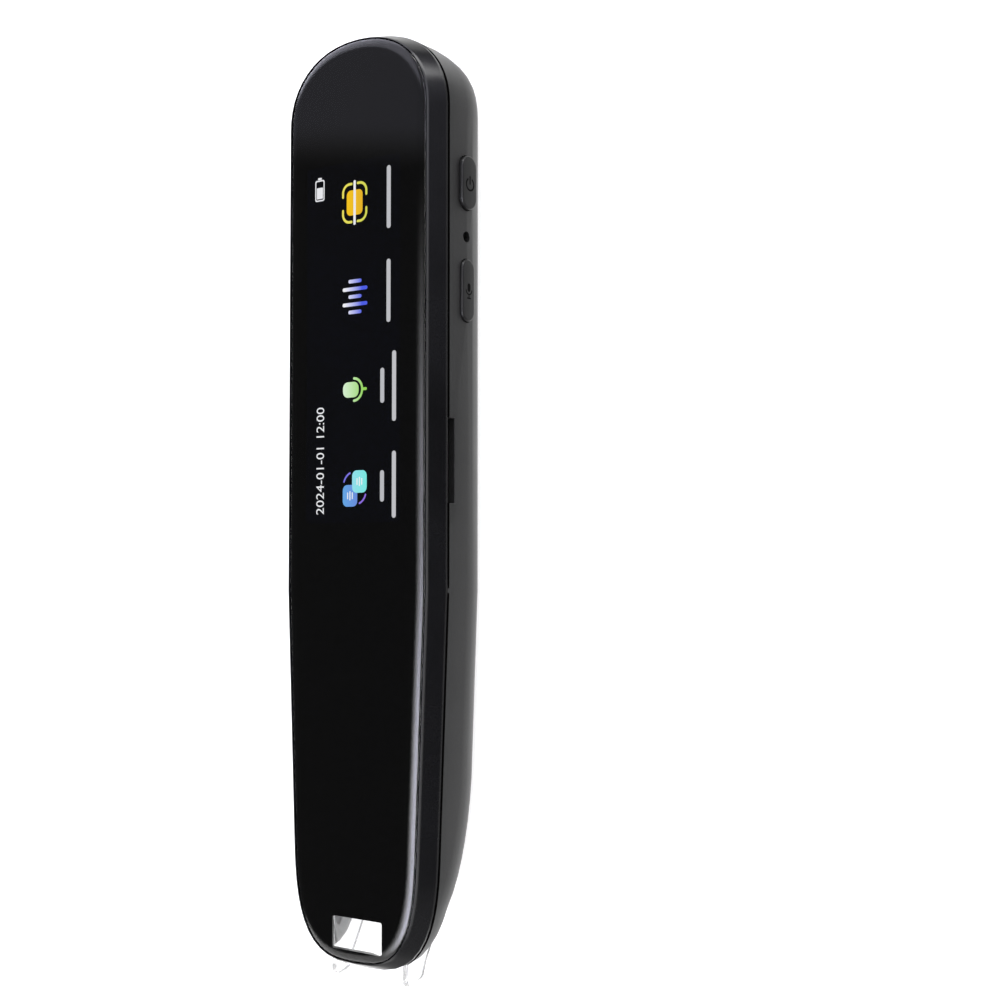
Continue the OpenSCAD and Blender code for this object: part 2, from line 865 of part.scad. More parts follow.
// Side view of the tip drawn in by d and lower at the top by drop: down the nose arc,
// round the foot and up the straight front
function tip_profile(d, drop) =
    let (arc_c = [at(nose_from), nose_arc_r],
        r = nose_arc_r + tip_proud - d,
        y_top = at(bar_top) - d - drop,
        foot_c = [at(foot_r - tip_reach), tip_front_z - foot_corner],
        a0 = -90 - asin((at(nose_from) - y_top) / r),
        a1 = -90 - asin((nose_from - 1.2) / r))
    concat(
        [[y_top, tip_front_z - d]],
        arc_points(arc_c, r, a0, a1, 16),
        arc_points(foot_c, foot_r - d, 218, 180, 8),
        arc_points([at(-tip_reach) + foot_corner, tip_front_z - foot_corner],
            foot_corner - min(d, 0.6), 170, 90, 4));

// Distances from a side at which the tip's side view is set, close where the edge rounds
tip_edges = [0, 0.05, 0.15, 0.4, 1, 1.5, tip_corner];

module tip_blank() {
    half = tip_w / 2;
    n = len(tip_edges) - 1;
    stops = concat([for (e = tip_edges) [e - half, e]],
        [for (i = [n:-1:0]) [half - tip_edges[i], tip_edges[i]]]);
    loft([for (q = stops)
        [for (v = tip_profile(edge_drop(q[1], tip_round), edge_drop(q[1], tip_corner)))
            [q[0], v[0], v[1]]]]);
}

// Rectangle in plan with its two far corners rounded
module arch_plan(half, y0, y1, r) {
    translate([-half, y0])
        square([2 * half, y1 - y0 - r]);
    translate([-half + r, y0])
        square([2 * (half - r), y1 - y0]);
    for (k = [-1, 1])
        translate([k * (half - r), y1 - r])
            circle(r = r);
}

// Flange behind the shell's edge, legs that guide the tip and lugs under the springs
flange_z = front_z - 12.3;
tip_flange_t = 1;
tip_flange_top = 20;
leg_top = 24;
leg_z0 = 7;
leg_z1 = 12;
seat_at = 9.2;
seat_t = 0.8;
spring_x = cut_half + 0.6;
spring_z = 9.7;
lug_out = spring_x + 0.8;
lug_low = 0.8;
lug_high = 2.2;
post_t = 0.4;

module scan_tip() {
    color([0.85, 0.88, 0.92, 0.4]) {
        difference() {
            tip_blank();
            translate([0, 0, -1])
                linear_extrude(front_z + 2)
                    arch_plan(cheek_in, at(-tip_reach - 2), at(bar_top - bar_h), throat_corner);
            block(0, at(bar_top - bar_h - 3), flange_z + tip_flange_t, 2 * cheek_in, 10, front_z);
        }
        block(0, at(bar_top - bar_h + 0.1), flange_z, 2 * cheek_in + 0.2,
            tip_flange_top - bar_top + bar_h - 0.1, tip_flange_t);
        for (k = [-1, 1]) {
            block(k * (tip_w / 2 - cheek_t / 2), at(bar_top - 3), leg_z0, cheek_t - 0.1,
                leg_top - bar_top + 3, leg_z1 - leg_z0);
            block(k * (tip_w / 4 + lug_out / 2 - 0.1), at(seat_at - seat_t), spring_z - lug_low,
                lug_out - tip_w / 2 + 0.2, seat_t, lug_low + lug_high);
            block(k * (spring_x - 0.1), at(seat_at) - eps, spring_z + 1.6, 0.8, 5.5, post_t);
        }
    }
}

// Path of a spring: angle round the coil and height, with straight ends square to the seats
spring_end = 0.25;
spring_pitch = (spring_l - 2 * spring_wire - 2 * spring_end) / spring_turns;
spring_mean_r = (spring_d - spring_wire) / 2;
turn_angles = concat([0, 12, 26], [for (i = [1:8 * spring_turns - 1]) 45 * i],
    [360 * spring_turns - 26, 360 * spring_turns - 12, 360 * spring_turns]);
function coil_height(a) =
    let (all = 360 * spring_turns, fade = 22)
    spring_wire + spring_pitch * a / 360
    + spring_end * (1 - exp(-a / fade)) + spring_end * exp(-(all - a) / fade);
coil_path = concat([[0, 0]], [for (a = turn_angles) [a, coil_height(a)]],
    [[360 * spring_turns, spring_l]]);
function coil_point(q) = [spring_mean_r * cos(q[0]), q[1], spring_mean_r * sin(q[0])];
function unit(v) = v / norm(v);
coil_points = [for (q = coil_path) coil_point(q)];

// Rings of the wire, one at each point of the path
function wire_ring(i) =
    let (n = len(coil_points) - 1, a = coil_path[i][0],
        along = i == 0 || i == n ? [0, 1, 0]
            : unit(unit(coil_points[i + 1] - coil_points[i]) + unit(coil_points[i] - coil_points[i - 1])),
        out = unit([cos(a), 0, sin(a)] - (along * [cos(a), 0, sin(a)]) * along),
        across = cross(out, along))
    [for (k = [0:5]) coil_points[i] + spring_wire / 2 * (cos(60 * k) * out + sin(60 * k) * across)];

// Least gap between one turn and the next
turn_gaps = [for (i = [0:len(coil_points) - 1], j = [i + 5:1:len(coil_points) - 1])
    if (abs(coil_path[j][0] - coil_path[i][0]) > 200) norm(coil_points[j] - coil_points[i])];
echo(spring_least_gap = min(turn_gaps) - spring_wire);

module tip_spring(side) {
    color([0.8, 0.8, 0.82])
    translate([side * spring_x, at(seat_at), spring_z])
        loft([for (i = [0:len(coil_points) - 1]) wire_ring(i)]);
}

module tip_spring_left() {
    tip_spring(-1);
}

module tip_spring_right() {
    tip_spring(1);
}

/* Scanning chamber and camera */

chamber_in = cut_half;
chamber_t = 1;
chamber_thin = 0.5;
chamber_from = 5.2;
chamber_thick_from = 8;
chamber_roof = 28;
chamber_floor_from = tip_flange_top + tip_travel + 0.4;
spring_bay_top = seat_at + spring_l;
lens_z = 8.6;
lens_d = 6;
lens_from = chamber_roof - 0.7;
lens_l = 4.4;
lights_at = chamber_roof - 0.9;

// Side view of a wall that stands on the shell's inner surface at a distance x from the middle
function chamber_side(p0, p1, x, lift) = concat(
    [for (i = [0:8])
        let (y = at(p0 + (p1 - p0) * i / 8))
        [y, inner_z(x, y) + lift]],
    [[at(p1), part_z - 0.02], [at(p0), part_z - 0.02]]);

module side_extrude(x0, x1, points) {
    translate([x0, 0, 0])
        rotate([90, 0, 90])
            linear_extrude(x1 - x0)
                polygon(points);
}

// One side wall of the chamber between two places, from the middle gap out to x1
module chamber_wall(k, p0, p1, x1) {
    side_extrude(k < 0 ? -x1 : chamber_in, k < 0 ? -chamber_in : x1,
        chamber_side(p0, p1, x1, place_gap));
}

module scan_chamber() {
    out = chamber_in + chamber_t;
    color([0.13, 0.12, 0.15])
    difference() {
        union() {
            for (k = [-1, 1]) {
                chamber_wall(k, chamber_from, chamber_thick_from + 0.2, chamber_in + chamber_thin);
                chamber_wall(k, chamber_thick_from, chamber_roof + chamber_t, out);
                block(k * (spring_x + 0.2), at(spring_bay_top), spring_z - 1.2, 2.2, 1, 2.9);
            }
            side_extrude(-chamber_in - eps, chamber_in + eps,
                chamber_side(chamber_floor_from, chamber_roof + chamber_t, chamber_in, place_gap));
        }
        side_extrude(-chamber_in, chamber_in,
            chamber_side(chamber_floor_from - 1, chamber_roof, chamber_in, place_gap + chamber_t));
        block(0, at(chamber_floor_from) - 1, part_z - 1, 2 * chamber_in,
            chamber_roof - chamber_floor_from + 1, 2);
        for (k = [-1, 1])
            block(k * (chamber_in + chamber_t / 2), at(seat_at - seat_t) - 0.1, spring_z - 2.2,
                chamber_t + 1, spring_bay_top - seat_at + seat_t + 0.1, 4.9);
        translate([0, at(chamber_roof) - 1, lens_z])
            rotate([-90, 0, 0])
                cylinder(d = lens_d + 0.4, h = 4);
    }
}

module light_board() {
    color([0.9, 0.9, 0.88])
    difference() {
        block(0, at(lights_at), 4.2, 2 * chamber_in - 0.4, 0.8, part_z - 4.4);
        translate([0, at(lights_at) - 1, lens_z])
            rotate([-90, 0, 0])
                cylinder(d = lens_d + 0.6, h = 4);
    }
}

module scan_lights() {
    color([1, 0.98, 0.85])
    for (k = [-1, 1], z = [lens_z - 3.6, lens_z + 3])
        block(k * 4.6, at(lights_at) - 0.8, z, 2.8, 0.8, 1.4);
}

module tip_switch() {
    body_from = leg_top + tip_travel + 0.35;
    color([0.2, 0.2, 0.2]) {
        block(tip_w / 2 - 1.1, at(body_from) + 0.3, leg_z0 + 1, 1.6, lights_at - body_from - 0.3, 3);
        block(tip_w / 2 - 0.9, at(body_from), leg_z0 + 2, 0.8, 0.3 + eps, 1);
    }
}

module camera_lens() {
    color([0.08, 0.08, 0.1])
    translate([0, at(lens_from), lens_z])
        rotate([-90, 0, 0])
            difference() {
                cylinder(d = lens_d, h = lens_l);
                translate([0, 0, -eps])
                    cylinder(d = lens_d - 1.6, h = 0.5);
                translate([0, 0, 0.4])
                    cylinder(d = lens_d - 3, h = 2);
            }
}

holder_from = chamber_roof + chamber_t;
holder_l = 6;
holder_w = 11.4;
holder_h = 9.2;

module camera_holder() {
    color([0.1, 0.1, 0.1])
    difference() {
        block(0, at(holder_from), lens_z - holder_h / 2, holder_w, holder_l, holder_h);
        translate([0, at(holder_from) - 1, lens_z])
            rotate([-90, 0, 0])
                cylinder(d = lens_d + 0.04, h = lens_from + lens_l - holder_from + 1.05);
        block(0, at(lens_from + lens_l), lens_z - 3, 7, holder_l, 6);
    }
}

module sensor_board() {
    color([0.05, 0.25, 0.12]) {
        block(0, at(holder_from + holder_l), lens_z - holder_h / 2, holder_w, 0.8, holder_h);
        block(0, at(holder_from + holder_l) - 0.9, lens_z - 2.6, 6, 0.9 + eps, 5.2);
    }
}

module camera_flex() {
    y0 = at(holder_from + holder_l + 0.8);
    color([0.75, 0.45, 0.12]) {
        block(0, y0, lens_z - 2, 7, flex_t, board_top - lens_z + 2);
        block(0, y0, board_top, 7, at(board_from) + 3 - y0, flex_t);
    }
}

front_frame();
cover_glass();
glass_tape();
display_panel();
display_foam();
display_flex();
rear_shell();
speaker_plate();
speaker_mesh();
speaker_gasket();
speaker();
power_button();
voice_button();
key_board();
power_switch();
voice_switch();
microphone();
main_board();
board_screws();
processor();
memory_chip();
radio_shield();
power_chip();
card_socket();
usb_socket();
battery();
battery_pad();
scan_tip();
tip_spring_left();
tip_spring_right();
scan_chamber();
light_board();
scan_lights();
tip_switch();
camera_lens();
camera_holder();
sensor_board();
camera_flex();
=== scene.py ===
import json
import math
import bmesh
import bpy
from mathutils import Matrix, Vector

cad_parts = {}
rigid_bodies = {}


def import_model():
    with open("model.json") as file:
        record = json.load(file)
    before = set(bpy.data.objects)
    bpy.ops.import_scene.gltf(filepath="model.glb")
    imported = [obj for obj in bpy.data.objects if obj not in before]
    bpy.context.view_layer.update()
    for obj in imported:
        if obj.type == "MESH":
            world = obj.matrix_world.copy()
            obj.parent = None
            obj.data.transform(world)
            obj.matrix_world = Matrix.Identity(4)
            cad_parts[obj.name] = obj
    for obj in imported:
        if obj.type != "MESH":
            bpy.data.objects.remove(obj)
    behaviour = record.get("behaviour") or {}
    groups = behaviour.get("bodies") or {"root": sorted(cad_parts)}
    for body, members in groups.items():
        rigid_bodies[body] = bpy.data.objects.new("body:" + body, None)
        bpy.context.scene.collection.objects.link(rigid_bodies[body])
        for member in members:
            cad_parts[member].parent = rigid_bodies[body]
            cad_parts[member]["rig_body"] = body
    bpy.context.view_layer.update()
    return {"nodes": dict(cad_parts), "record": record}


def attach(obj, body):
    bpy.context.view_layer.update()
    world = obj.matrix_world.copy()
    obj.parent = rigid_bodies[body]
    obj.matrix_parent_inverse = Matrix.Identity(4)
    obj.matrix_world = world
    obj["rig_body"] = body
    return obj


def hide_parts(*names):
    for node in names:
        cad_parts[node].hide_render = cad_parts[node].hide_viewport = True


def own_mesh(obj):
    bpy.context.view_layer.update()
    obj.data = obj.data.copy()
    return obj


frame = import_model()
NODES = frame["nodes"]
SLOTS = {part["node"]: part["material_slot"] for part in frame["record"]["subparts"]}
MM = 0.001

# Sizes in millimetres, as in the part: the origin lies on the flat back midway along the
# housing, X points to the buttons, Y to the rounded top end and Z to the display
BODY_L = 150.0
BODY_W = 33.0
BODY_T = 16.6
TOP_ROUND = 13.5
NOSE_ROUND = 20.0
TAPER_FROM = 60.0
TAPER = 0.04
TOP_POWER = 2.2
NOSE_POWER = 3.0
LEAST_HALF = 0.4
GLASS_SIDE, GLASS_TOP, GLASS_NOSE = 2.1, 0.9, 1.3
GLASS_T = 1.0
GLASS_EDGE = 1.8
GLASS_DROP = 0.6 * GLASS_T
EDGE_STEPS = 12
GLASS_Z = BODY_T - GLASS_T
SLAB_Z = GLASS_Z - 0.01
PRINT_Z, PRINT_T, PRINT_IN = GLASS_Z + 0.005, 0.014, 0.12
SPRING_X, SPRING_Z, SPRING_FROM, SPRING_L = 9.5, 9.7, 9.2, 8.0
SPRING_D, SPRING_WIRE, SPRING_TURNS = 1.9, 0.3, 9
# Painted shadow along the parting line: its lower and upper Z, how far it stands out and how far in it
# reaches
SEAM_Z0, SEAM_Z1, SEAM_PROUD, SEAM_DEEP = 12.93, 13.37, 0.03, 0.2
CARD_FROM, CARD_TO = -1.2, 12.2
SEAM_NOSE = -73.5
BAR_FROM = -61.4
MIDDLE_STEPS = 24
WELD = 0.002
ROUNDED_NODES = ("front_frame", "rear_shell", "speaker_plate", "power_button", "voice_button",
                 "scan_tip", "scan_chamber", "camera_lens", "usb_socket")


def at(p):
    """Y of a place given by its distance from the nose end."""
    return p - BODY_L / 2


# Openings of the print under the glass: sides in X, then ends in Y
WINDOW, WINDOW_ROUND = (-4.85, 5.55, at(2.95), at(8.1)), 0.35
LIT_AREA, LIT_ROUND = (-11, 9, at(71), at(129.5)), 0.6

# Picture on the display: a label bar is its two ends from the nose end, and its X
PICTURE_T, LIFT, DIGITS_Z = 0.004, 0.005, GLASS_Z + 0.006
SIGN_LINE, LABEL_HALF = 0.42, 0.42
LABELS = (((117.7, 127.8, 6.6),), ((102.7, 112.8, 6.6),), ((89.9, 95.5, 5.35), (86.9, 98.1, 7.8)),
          ((74.2, 79.2, 5.35), (71.6, 82.2, 7.8)))

# Buttons: the body, its place in Y and how far it stands out of the shell
BUTTONS = {"power_key": (49.9, 0.7), "voice_key": (32.7, 0.5)}
BUTTON_Z = 8.6
MARK_T, MARK_PROUD = 0.018, 0.006

# Camera in millimetres, and the studio's brightness where 1 is white
CAMERA_AT = Vector((177.696, -11.226, 216.694))
CAMERA_TARGET = Vector((28.414, -1.155, 15.6))
CAMERA_LENS = 59.963
FLOOR_REACH = 6.0
FLOOR_COLOUR = (0.8, 0.8, 0.8, 1)
FLOOR_SEEN, NOSE_FLOOR_LEVEL, CROWN_FLOOR_LEVEL = 0.7, 3.0, 1.8
BASE_LEVEL, STRIP_LEVEL, LIP_LEVEL, TOP_LEVEL = 0.08, 4.6, 3.0, 0.32
CROWN_LEVELS, CHIN_LEVELS = (1.2, 3.2), (1.2, 2.0)
TOP_EDGE = (0.232, 0.262)
WHITE, COOL_WHITE = (1.0, 1.0, 1.0), (0.95, 0.95, 1.1)


# Materials

class Tree:
    """Adds and wires nodes of one tree."""

    def __init__(self, tree):
        self.tree = tree

    def add(self, kind, props=None, **inputs):
        node = self.tree.nodes.new(kind)
        for key, value in (props or {}).items():
            setattr(node, key, value)
        for key, value in inputs.items():
            self.set(node, key.replace("_", " "), value)
        return node

    def set(self, node, key, value):
        socket = node.inputs[int(key)] if key.isdigit() else node.inputs[key]
        if isinstance(value, bpy.types.NodeSocket):
            self.tree.links.new(value, socket)
        else:
            socket.default_value = value

    def math(self, operation, a, b=0.0, clamp=False):
        node = self.add("ShaderNodeMath", {"operation": operation, "use_clamp": clamp})
        self.set(node, "0", a)
        self.set(node, "1", b)
        return node.outputs[0]

    def ranged(self, value, a, b, c, d, kind="LINEAR"):
        node = self.add("ShaderNodeMapRange", {"interpolation_type": kind}, Value=value)
        for key, v in zip(("From Min", "From Max", "To Min", "To Max"), (a, b, c, d)):
            node.inputs[key].default_value = v
        return node.outputs["Result"]

    def span(self, value, a, b, c, d):
        """Rises from 0 to 1 between a and b, and falls back between c and d."""
        return self.math("MULTIPLY", self.ranged(value, a, b, 0.0, 1.0, "SMOOTHSTEP"),
                         self.ranged(value, c, d, 1.0, 0.0, "SMOOTHSTEP"))

    def blend(self, factor, a, b):
        node = self.add("ShaderNodeMix", {"data_type": "RGBA"})
        self.set(node, "0", factor)
        for key, value in (("6", a), ("7", b)):
            self.set(node, key, value if isinstance(value, bpy.types.NodeSocket) else (*value, 1))
        return node.outputs[2]

    def noise(self, vector, scale, detail=3.0, rough=0.5):
        return self.add("ShaderNodeTexNoise", Vector=vector, Scale=scale, Detail=detail,
                        Roughness=rough).outputs["Fac"]


def new_group(name, inputs, outputs):
    """Shader group with named sockets; inputs carry a default value."""
    group = bpy.data.node_groups.new(name, "ShaderNodeTree")
    for key, value in inputs.items():
        socket = group.interface.new_socket(key, in_out="INPUT", socket_type="NodeSocketFloat")
        socket.default_value = value
    for key, kind in outputs.items():
        group.interface.new_socket(key, in_out="OUTPUT", socket_type=kind)
    tree = Tree(group)
    start = tree.add("NodeGroupInput")
    end = tree.add("NodeGroupOutput")
    place = tree.add("ShaderNodeTexCoord").outputs["Object"]
    return group, tree, start.outputs, end, place


def make_moulded_grain():
    """Fine spark-eroded grain of moulded plastic, with flow shading and stray specks."""
    group, t, inp, end, place = new_group(
        "moulded_grain", {"Grain size": 0.2, "Flow size": 18.0},
        {"Height": "NodeSocketFloat", "Speck": "NodeSocketFloat", "Flow": "NodeSocketFloat"})
    fine = t.math("DIVIDE", 1000.0, inp["Grain size"])
    wide = t.math("DIVIDE", 1000.0, inp["Flow size"])
    cells = t.add("ShaderNodeTexVoronoi", {"feature": "SMOOTH_F1"}, Vector=place, Scale=fine)
    cells.inputs["Smoothness"].default_value = 0.6
    hills = t.noise(place, t.math("MULTIPLY", fine, 0.45), 4.0, 0.62)
    pits = t.ranged(cells.outputs["Distance"], 0.1, 0.75, 0.0, 1.0)
    t.set(end, "Height", t.math("ADD", t.math("MULTIPLY", pits, 0.55), t.math("MULTIPLY", hills, 0.6)))
    specks = t.noise(place, t.math("MULTIPLY", fine, 0.8), 2.0, 0.7)
    t.set(end, "Speck", t.ranged(specks, 0.56, 0.72, 0.0, 1.0, "SMOOTHSTEP"))
    t.set(end, "Flow", t.ranged(t.noise(place, wide, 3.0, 0.55), 0.3, 0.7, 0.0, 1.0, "SMOOTHSTEP"))
    return group


def make_edge_wear():
    """Mask along convex edges where handling has polished or paled the surface."""
    group, t, inp, end, place = new_group(
        "edge_wear", {"Radius": 0.3, "Patch size": 3.0}, {"Mask": "NodeSocketFloat"})
    bevel = t.add("ShaderNodeBevel", {"samples": 6})
    t.set(bevel, "Radius", t.math("MULTIPLY", inp["Radius"], MM))
    flat = t.add("ShaderNodeNewGeometry").outputs["Normal"]
    turn = t.add("ShaderNodeVectorMath", {"operation": "DOT_PRODUCT"})
    t.set(turn, "0", bevel.outputs[0])
    t.set(turn, "1", flat)
    edge = t.ranged(turn.outputs["Value"], 0.995, 0.86, 0.0, 1.0, "SMOOTHSTEP")
    patch = t.noise(place, t.math("DIVIDE", 1000.0, inp["Patch size"]), 5.0, 0.6)
    patch = t.ranged(patch, 0.35, 0.68, 0.25, 1.0)
    t.set(end, "Mask", t.math("MULTIPLY", edge, patch, clamp=True))
    return group


def make_touch_marks():
    """Soft smears and fine lint that handling leaves on a glossy surface."""
    group, t, inp, end, place = new_group(
        "touch_marks", {"Smear size": 9.0, "Lint size": 0.5},
        {"Smear": "NodeSocketFloat", "Lint": "NodeSocketFloat"})
    broad = t.noise(place, t.math("DIVIDE", 1000.0, inp["Smear size"]), 5.0, 0.62)
    t.set(end, "Smear", t.ranged(broad, 0.46, 0.74, 0.0, 1.0, "SMOOTHSTEP"))
    lint = t.noise(place, t.math("DIVIDE", 1000.0, inp["Lint size"]), 3.0, 0.7)
    t.set(end, "Lint", t.ranged(lint, 0.71, 0.8, 0.0, 1.0))
    return group


def make_drawn_metal():
    """Fine lines along X and small dull patches of drawn or rolled metal."""
    group, t, inp, end, place = new_group(
        "drawn_metal", {"Line size": 0.12, "Patch size": 2.0},
        {"Lines": "NodeSocketFloat", "Patches": "NodeSocketFloat"})
    stretch = t.add("ShaderNodeMapping", Vector=place)
    stretch.inputs["Scale"].default_value = (0.04, 1.0, 1.0)
    lines = t.noise(stretch.outputs[0], t.math("DIVIDE", 1000.0, inp["Line size"]), 2.0, 0.6)
    t.set(end, "Lines", t.ranged(lines, 0.3, 0.7, 0.0, 1.0))
    patches = t.noise(place, t.math("DIVIDE", 1000.0, inp["Patch size"]), 5.0, 0.65)
    t.set(end, "Patches", t.ranged(patches, 0.42, 0.66, 0.0, 1.0, "SMOOTHSTEP"))
    return group


def make_pixel_rows():
    """Faint grid of a display's pixels."""
    group, t, inp, end, place = new_group(
        "pixel_rows", {"Pitch": 0.12, "Low": 0.8}, {"Level": "NodeSocketFloat"})
    parts = t.add("ShaderNodeSeparateXYZ", Vector=place).outputs
    pitch = t.math("MULTIPLY", inp["Pitch"], MM)
    levels = []
    for axis in ("X", "Y"):
        phase = t.math("DIVIDE", parts[axis], pitch)
        wave = t.math("PINGPONG", phase, 0.5)
        levels.append(t.ranged(wave, 0.04, 0.16, 0.0, 1.0))
    both = t.math("MULTIPLY", levels[0], levels[1])
    drop = t.math("SUBTRACT", 1.0, inp["Low"])
    t.set(end, "Level", t.math("ADD", inp["Low"], t.math("MULTIPLY", both, drop)))
    return group


GRAIN = make_moulded_grain()
WEAR = make_edge_wear()
MARKS = make_touch_marks()
DRAWN = make_drawn_metal()
PIXELS = make_pixel_rows()


def shader_of(name, fixed):
    """New material with its Principled shader, constants on the shader's own sockets."""
    mat = bpy.data.materials.new(name)
    mat.use_nodes = True
    tree = Tree(mat.node_tree)
    shader = mat.node_tree.nodes["Principled BSDF"]
    for key, value in fixed.items():
        shader.inputs[key.replace("_", " ")].default_value = value
    return mat, tree, shader


def grouped(t, group, **inputs):
    """Outputs of a shared group placed in a material with its own values."""
    node = t.add("ShaderNodeGroup", {"node_tree": group})
    for key, value in inputs.items():
        t.set(node, key.replace("_", " "), value)
    return node.outputs


def moulded(name, tone, light, rough, grain=0.2, depth=0.006, worn=None, wear_radius=0.3,
            flow=18.0, soft_edge=0.0, **fixed):
    """Moulded plastic: tone to light by flow and specks, paler and smoother where it is worn."""
    mat, t, shader = shader_of(name, fixed)
    skin = grouped(t, GRAIN, Grain_size=grain, Flow_size=flow)
    colour = t.blend(t.math("MULTIPLY", skin["Flow"], 0.45), tone, light)
    colour = t.blend(t.math("MULTIPLY", skin["Speck"], 0.6), colour, light)
    rough_value = t.ranged(skin["Flow"], 0.0, 1.0, rough - 0.03, rough + 0.04)
    rough_value = t.math("SUBTRACT", rough_value, t.math("MULTIPLY", skin["Speck"], 0.06))
    if worn:
        edge = grouped(t, WEAR, Radius=wear_radius, Patch_size=2.5)["Mask"]
        colour = t.blend(edge, colour, worn)
        rough_value = t.math("SUBTRACT", rough_value, t.math("MULTIPLY", edge, 0.1))
    t.set(shader, "Base Color", colour)
    t.set(shader, "Roughness", rough_value)
    if not depth:
        return mat
    bump = t.add("ShaderNodeBump", Height=skin["Height"])
    bump.inputs["Strength"].default_value = 1.0
    bump.inputs["Distance"].default_value = depth * MM
    if soft_edge:
        edge_round = t.add("ShaderNodeBevel", {"samples": 4})
        edge_round.inputs["Radius"].default_value = soft_edge * MM
        t.set(bump, "Normal", edge_round.outputs[0])
    t.set(shader, "Normal", bump.outputs[0])
    return mat


def metal(name, tone, dull, rough, line=0.12, depth=0.002, **fixed):
    """Drawn or rolled metal."""
    mat, t, shader = shader_of(name, {"Metallic": 1.0, **fixed})
    drawn = grouped(t, DRAWN, Line_size=line, Patch_size=1.6)
    mix = t.math("ADD", t.math("MULTIPLY", drawn["Lines"], 0.35),
                 t.math("MULTIPLY", drawn["Patches"], 0.5))
    t.set(shader, "Base Color", t.blend(mix, tone, dull))
    t.set(shader, "Roughness", t.ranged(mix, 0.0, 0.85, rough - 0.05, rough + 0.12))
    bump = t.add("ShaderNodeBump", Height=drawn["Lines"])
    bump.inputs["Strength"].default_value = 1.0
    bump.inputs["Distance"].default_value = depth * MM
    t.set(shader, "Normal", bump.outputs[0])
    return mat


def clear(name, tone, tint, rough, frosted=None, **fixed):
    """Clear plastic or glass with faint touch marks, frosted beyond a place along the pen."""
    mat, t, shader = shader_of(name, {"Transmission_Weight": 1.0, **fixed})
    marks = grouped(t, MARKS, Smear_size=7.0, Lint_size=0.4)
    t.set(shader, "Base Color", t.blend(marks["Smear"], tone, tint))
    rough_value = t.ranged(marks["Smear"], 0.0, 1.0, rough, rough + 0.03)
    if frosted is not None:
        place = t.add("ShaderNodeTexCoord").outputs["Object"]
        along = t.add("ShaderNodeSeparateXYZ", Vector=place).outputs["Y"]
        frost = t.ranged(along, (frosted - 0.3) * MM, frosted * MM, 0.0, 0.38)
        rough_value = t.math("ADD", rough_value, frost)
        grain = grouped(t, GRAIN, Grain_size=0.25, Flow_size=6.0)["Height"]
        bump = t.add("ShaderNodeBump", Height=t.math("MULTIPLY", grain, frost))
        bump.inputs["Distance"].default_value = 0.04 * MM
        t.set(shader, "Normal", bump.outputs[0])
    t.set(shader, "Roughness", rough_value)
    return mat


def glowing(name, low, high, level, low_x, high_x, axis="X"):
    """Lit picture element whose colour runs from low to high between two places."""
    mat, t, shader = shader_of(name, {"Base_Color": (0.002, 0.002, 0.003, 1), "Roughness": 0.4,
                                      "Specular_IOR_Level": 0.0, "Emission_Strength": level})
    parts = t.add("ShaderNodeSeparateXYZ", Vector=t.add("ShaderNodeTexCoord").outputs["Object"])
    run = t.ranged(parts.outputs[axis], low_x * MM, high_x * MM, 0.0, 1.0)
    dots = grouped(t, PIXELS, Pitch=0.12, Low=0.84)["Level"]
    colour = t.blend(run, low, high)
    t.set(shader, "Emission Color", t.blend(dots, (0.0, 0.0, 0.0), colour))
    return mat


def woven(name, tone, light, pitch):
    """Cloth of crossed threads."""
    mat, t, shader = shader_of(name, {"Roughness": 0.75})
    parts = t.add("ShaderNodeSeparateXYZ", Vector=t.add("ShaderNodeTexCoord").outputs["Object"])
    waves = [t.math("SINE", t.math("MULTIPLY", parts.outputs[a], 2000 * math.pi / pitch)) for a in "XY"]
    weave = t.ranged(t.math("MULTIPLY", waves[0], waves[1]), -1.0, 1.0, 0.0, 1.0)
    t.set(shader, "Base Color", t.blend(weave, tone, light))
    bump = t.add("ShaderNodeBump", Height=weave)
    bump.inputs["Distance"].default_value = 0.03 * MM
    t.set(shader, "Normal", bump.outputs[0])
    return mat


def circuit(name, tone, track, solder):
    """Board with tracks under its lacquer and small bright solder spots."""
    mat, t, shader = shader_of(name, {"Coat_Weight": 0.4, "Coat_Roughness": 0.2})
    place = t.add("ShaderNodeTexCoord").outputs["Object"]
    lines = t.add("ShaderNodeTexBrick", Vector=place, Scale=260.0, Color1=(1, 1, 1, 1),
                  Color2=(0.2, 0.2, 0.2, 1), Mortar=(0, 0, 0, 1))
    lines.inputs["Mortar Size"].default_value = 0.012
    spots = t.add("ShaderNodeTexVoronoi", Vector=place, Scale=520.0).outputs["Distance"]
    colour = t.blend(lines.outputs["Color"], track, tone)
    colour = t.blend(t.ranged(spots, 0.2, 0.14, 0.0, 1.0), colour, solder)
    t.set(shader, "Base Color", colour)
    t.set(shader, "Roughness", t.ranged(spots, 0.0, 1.0, 0.3, 0.5))
    return mat


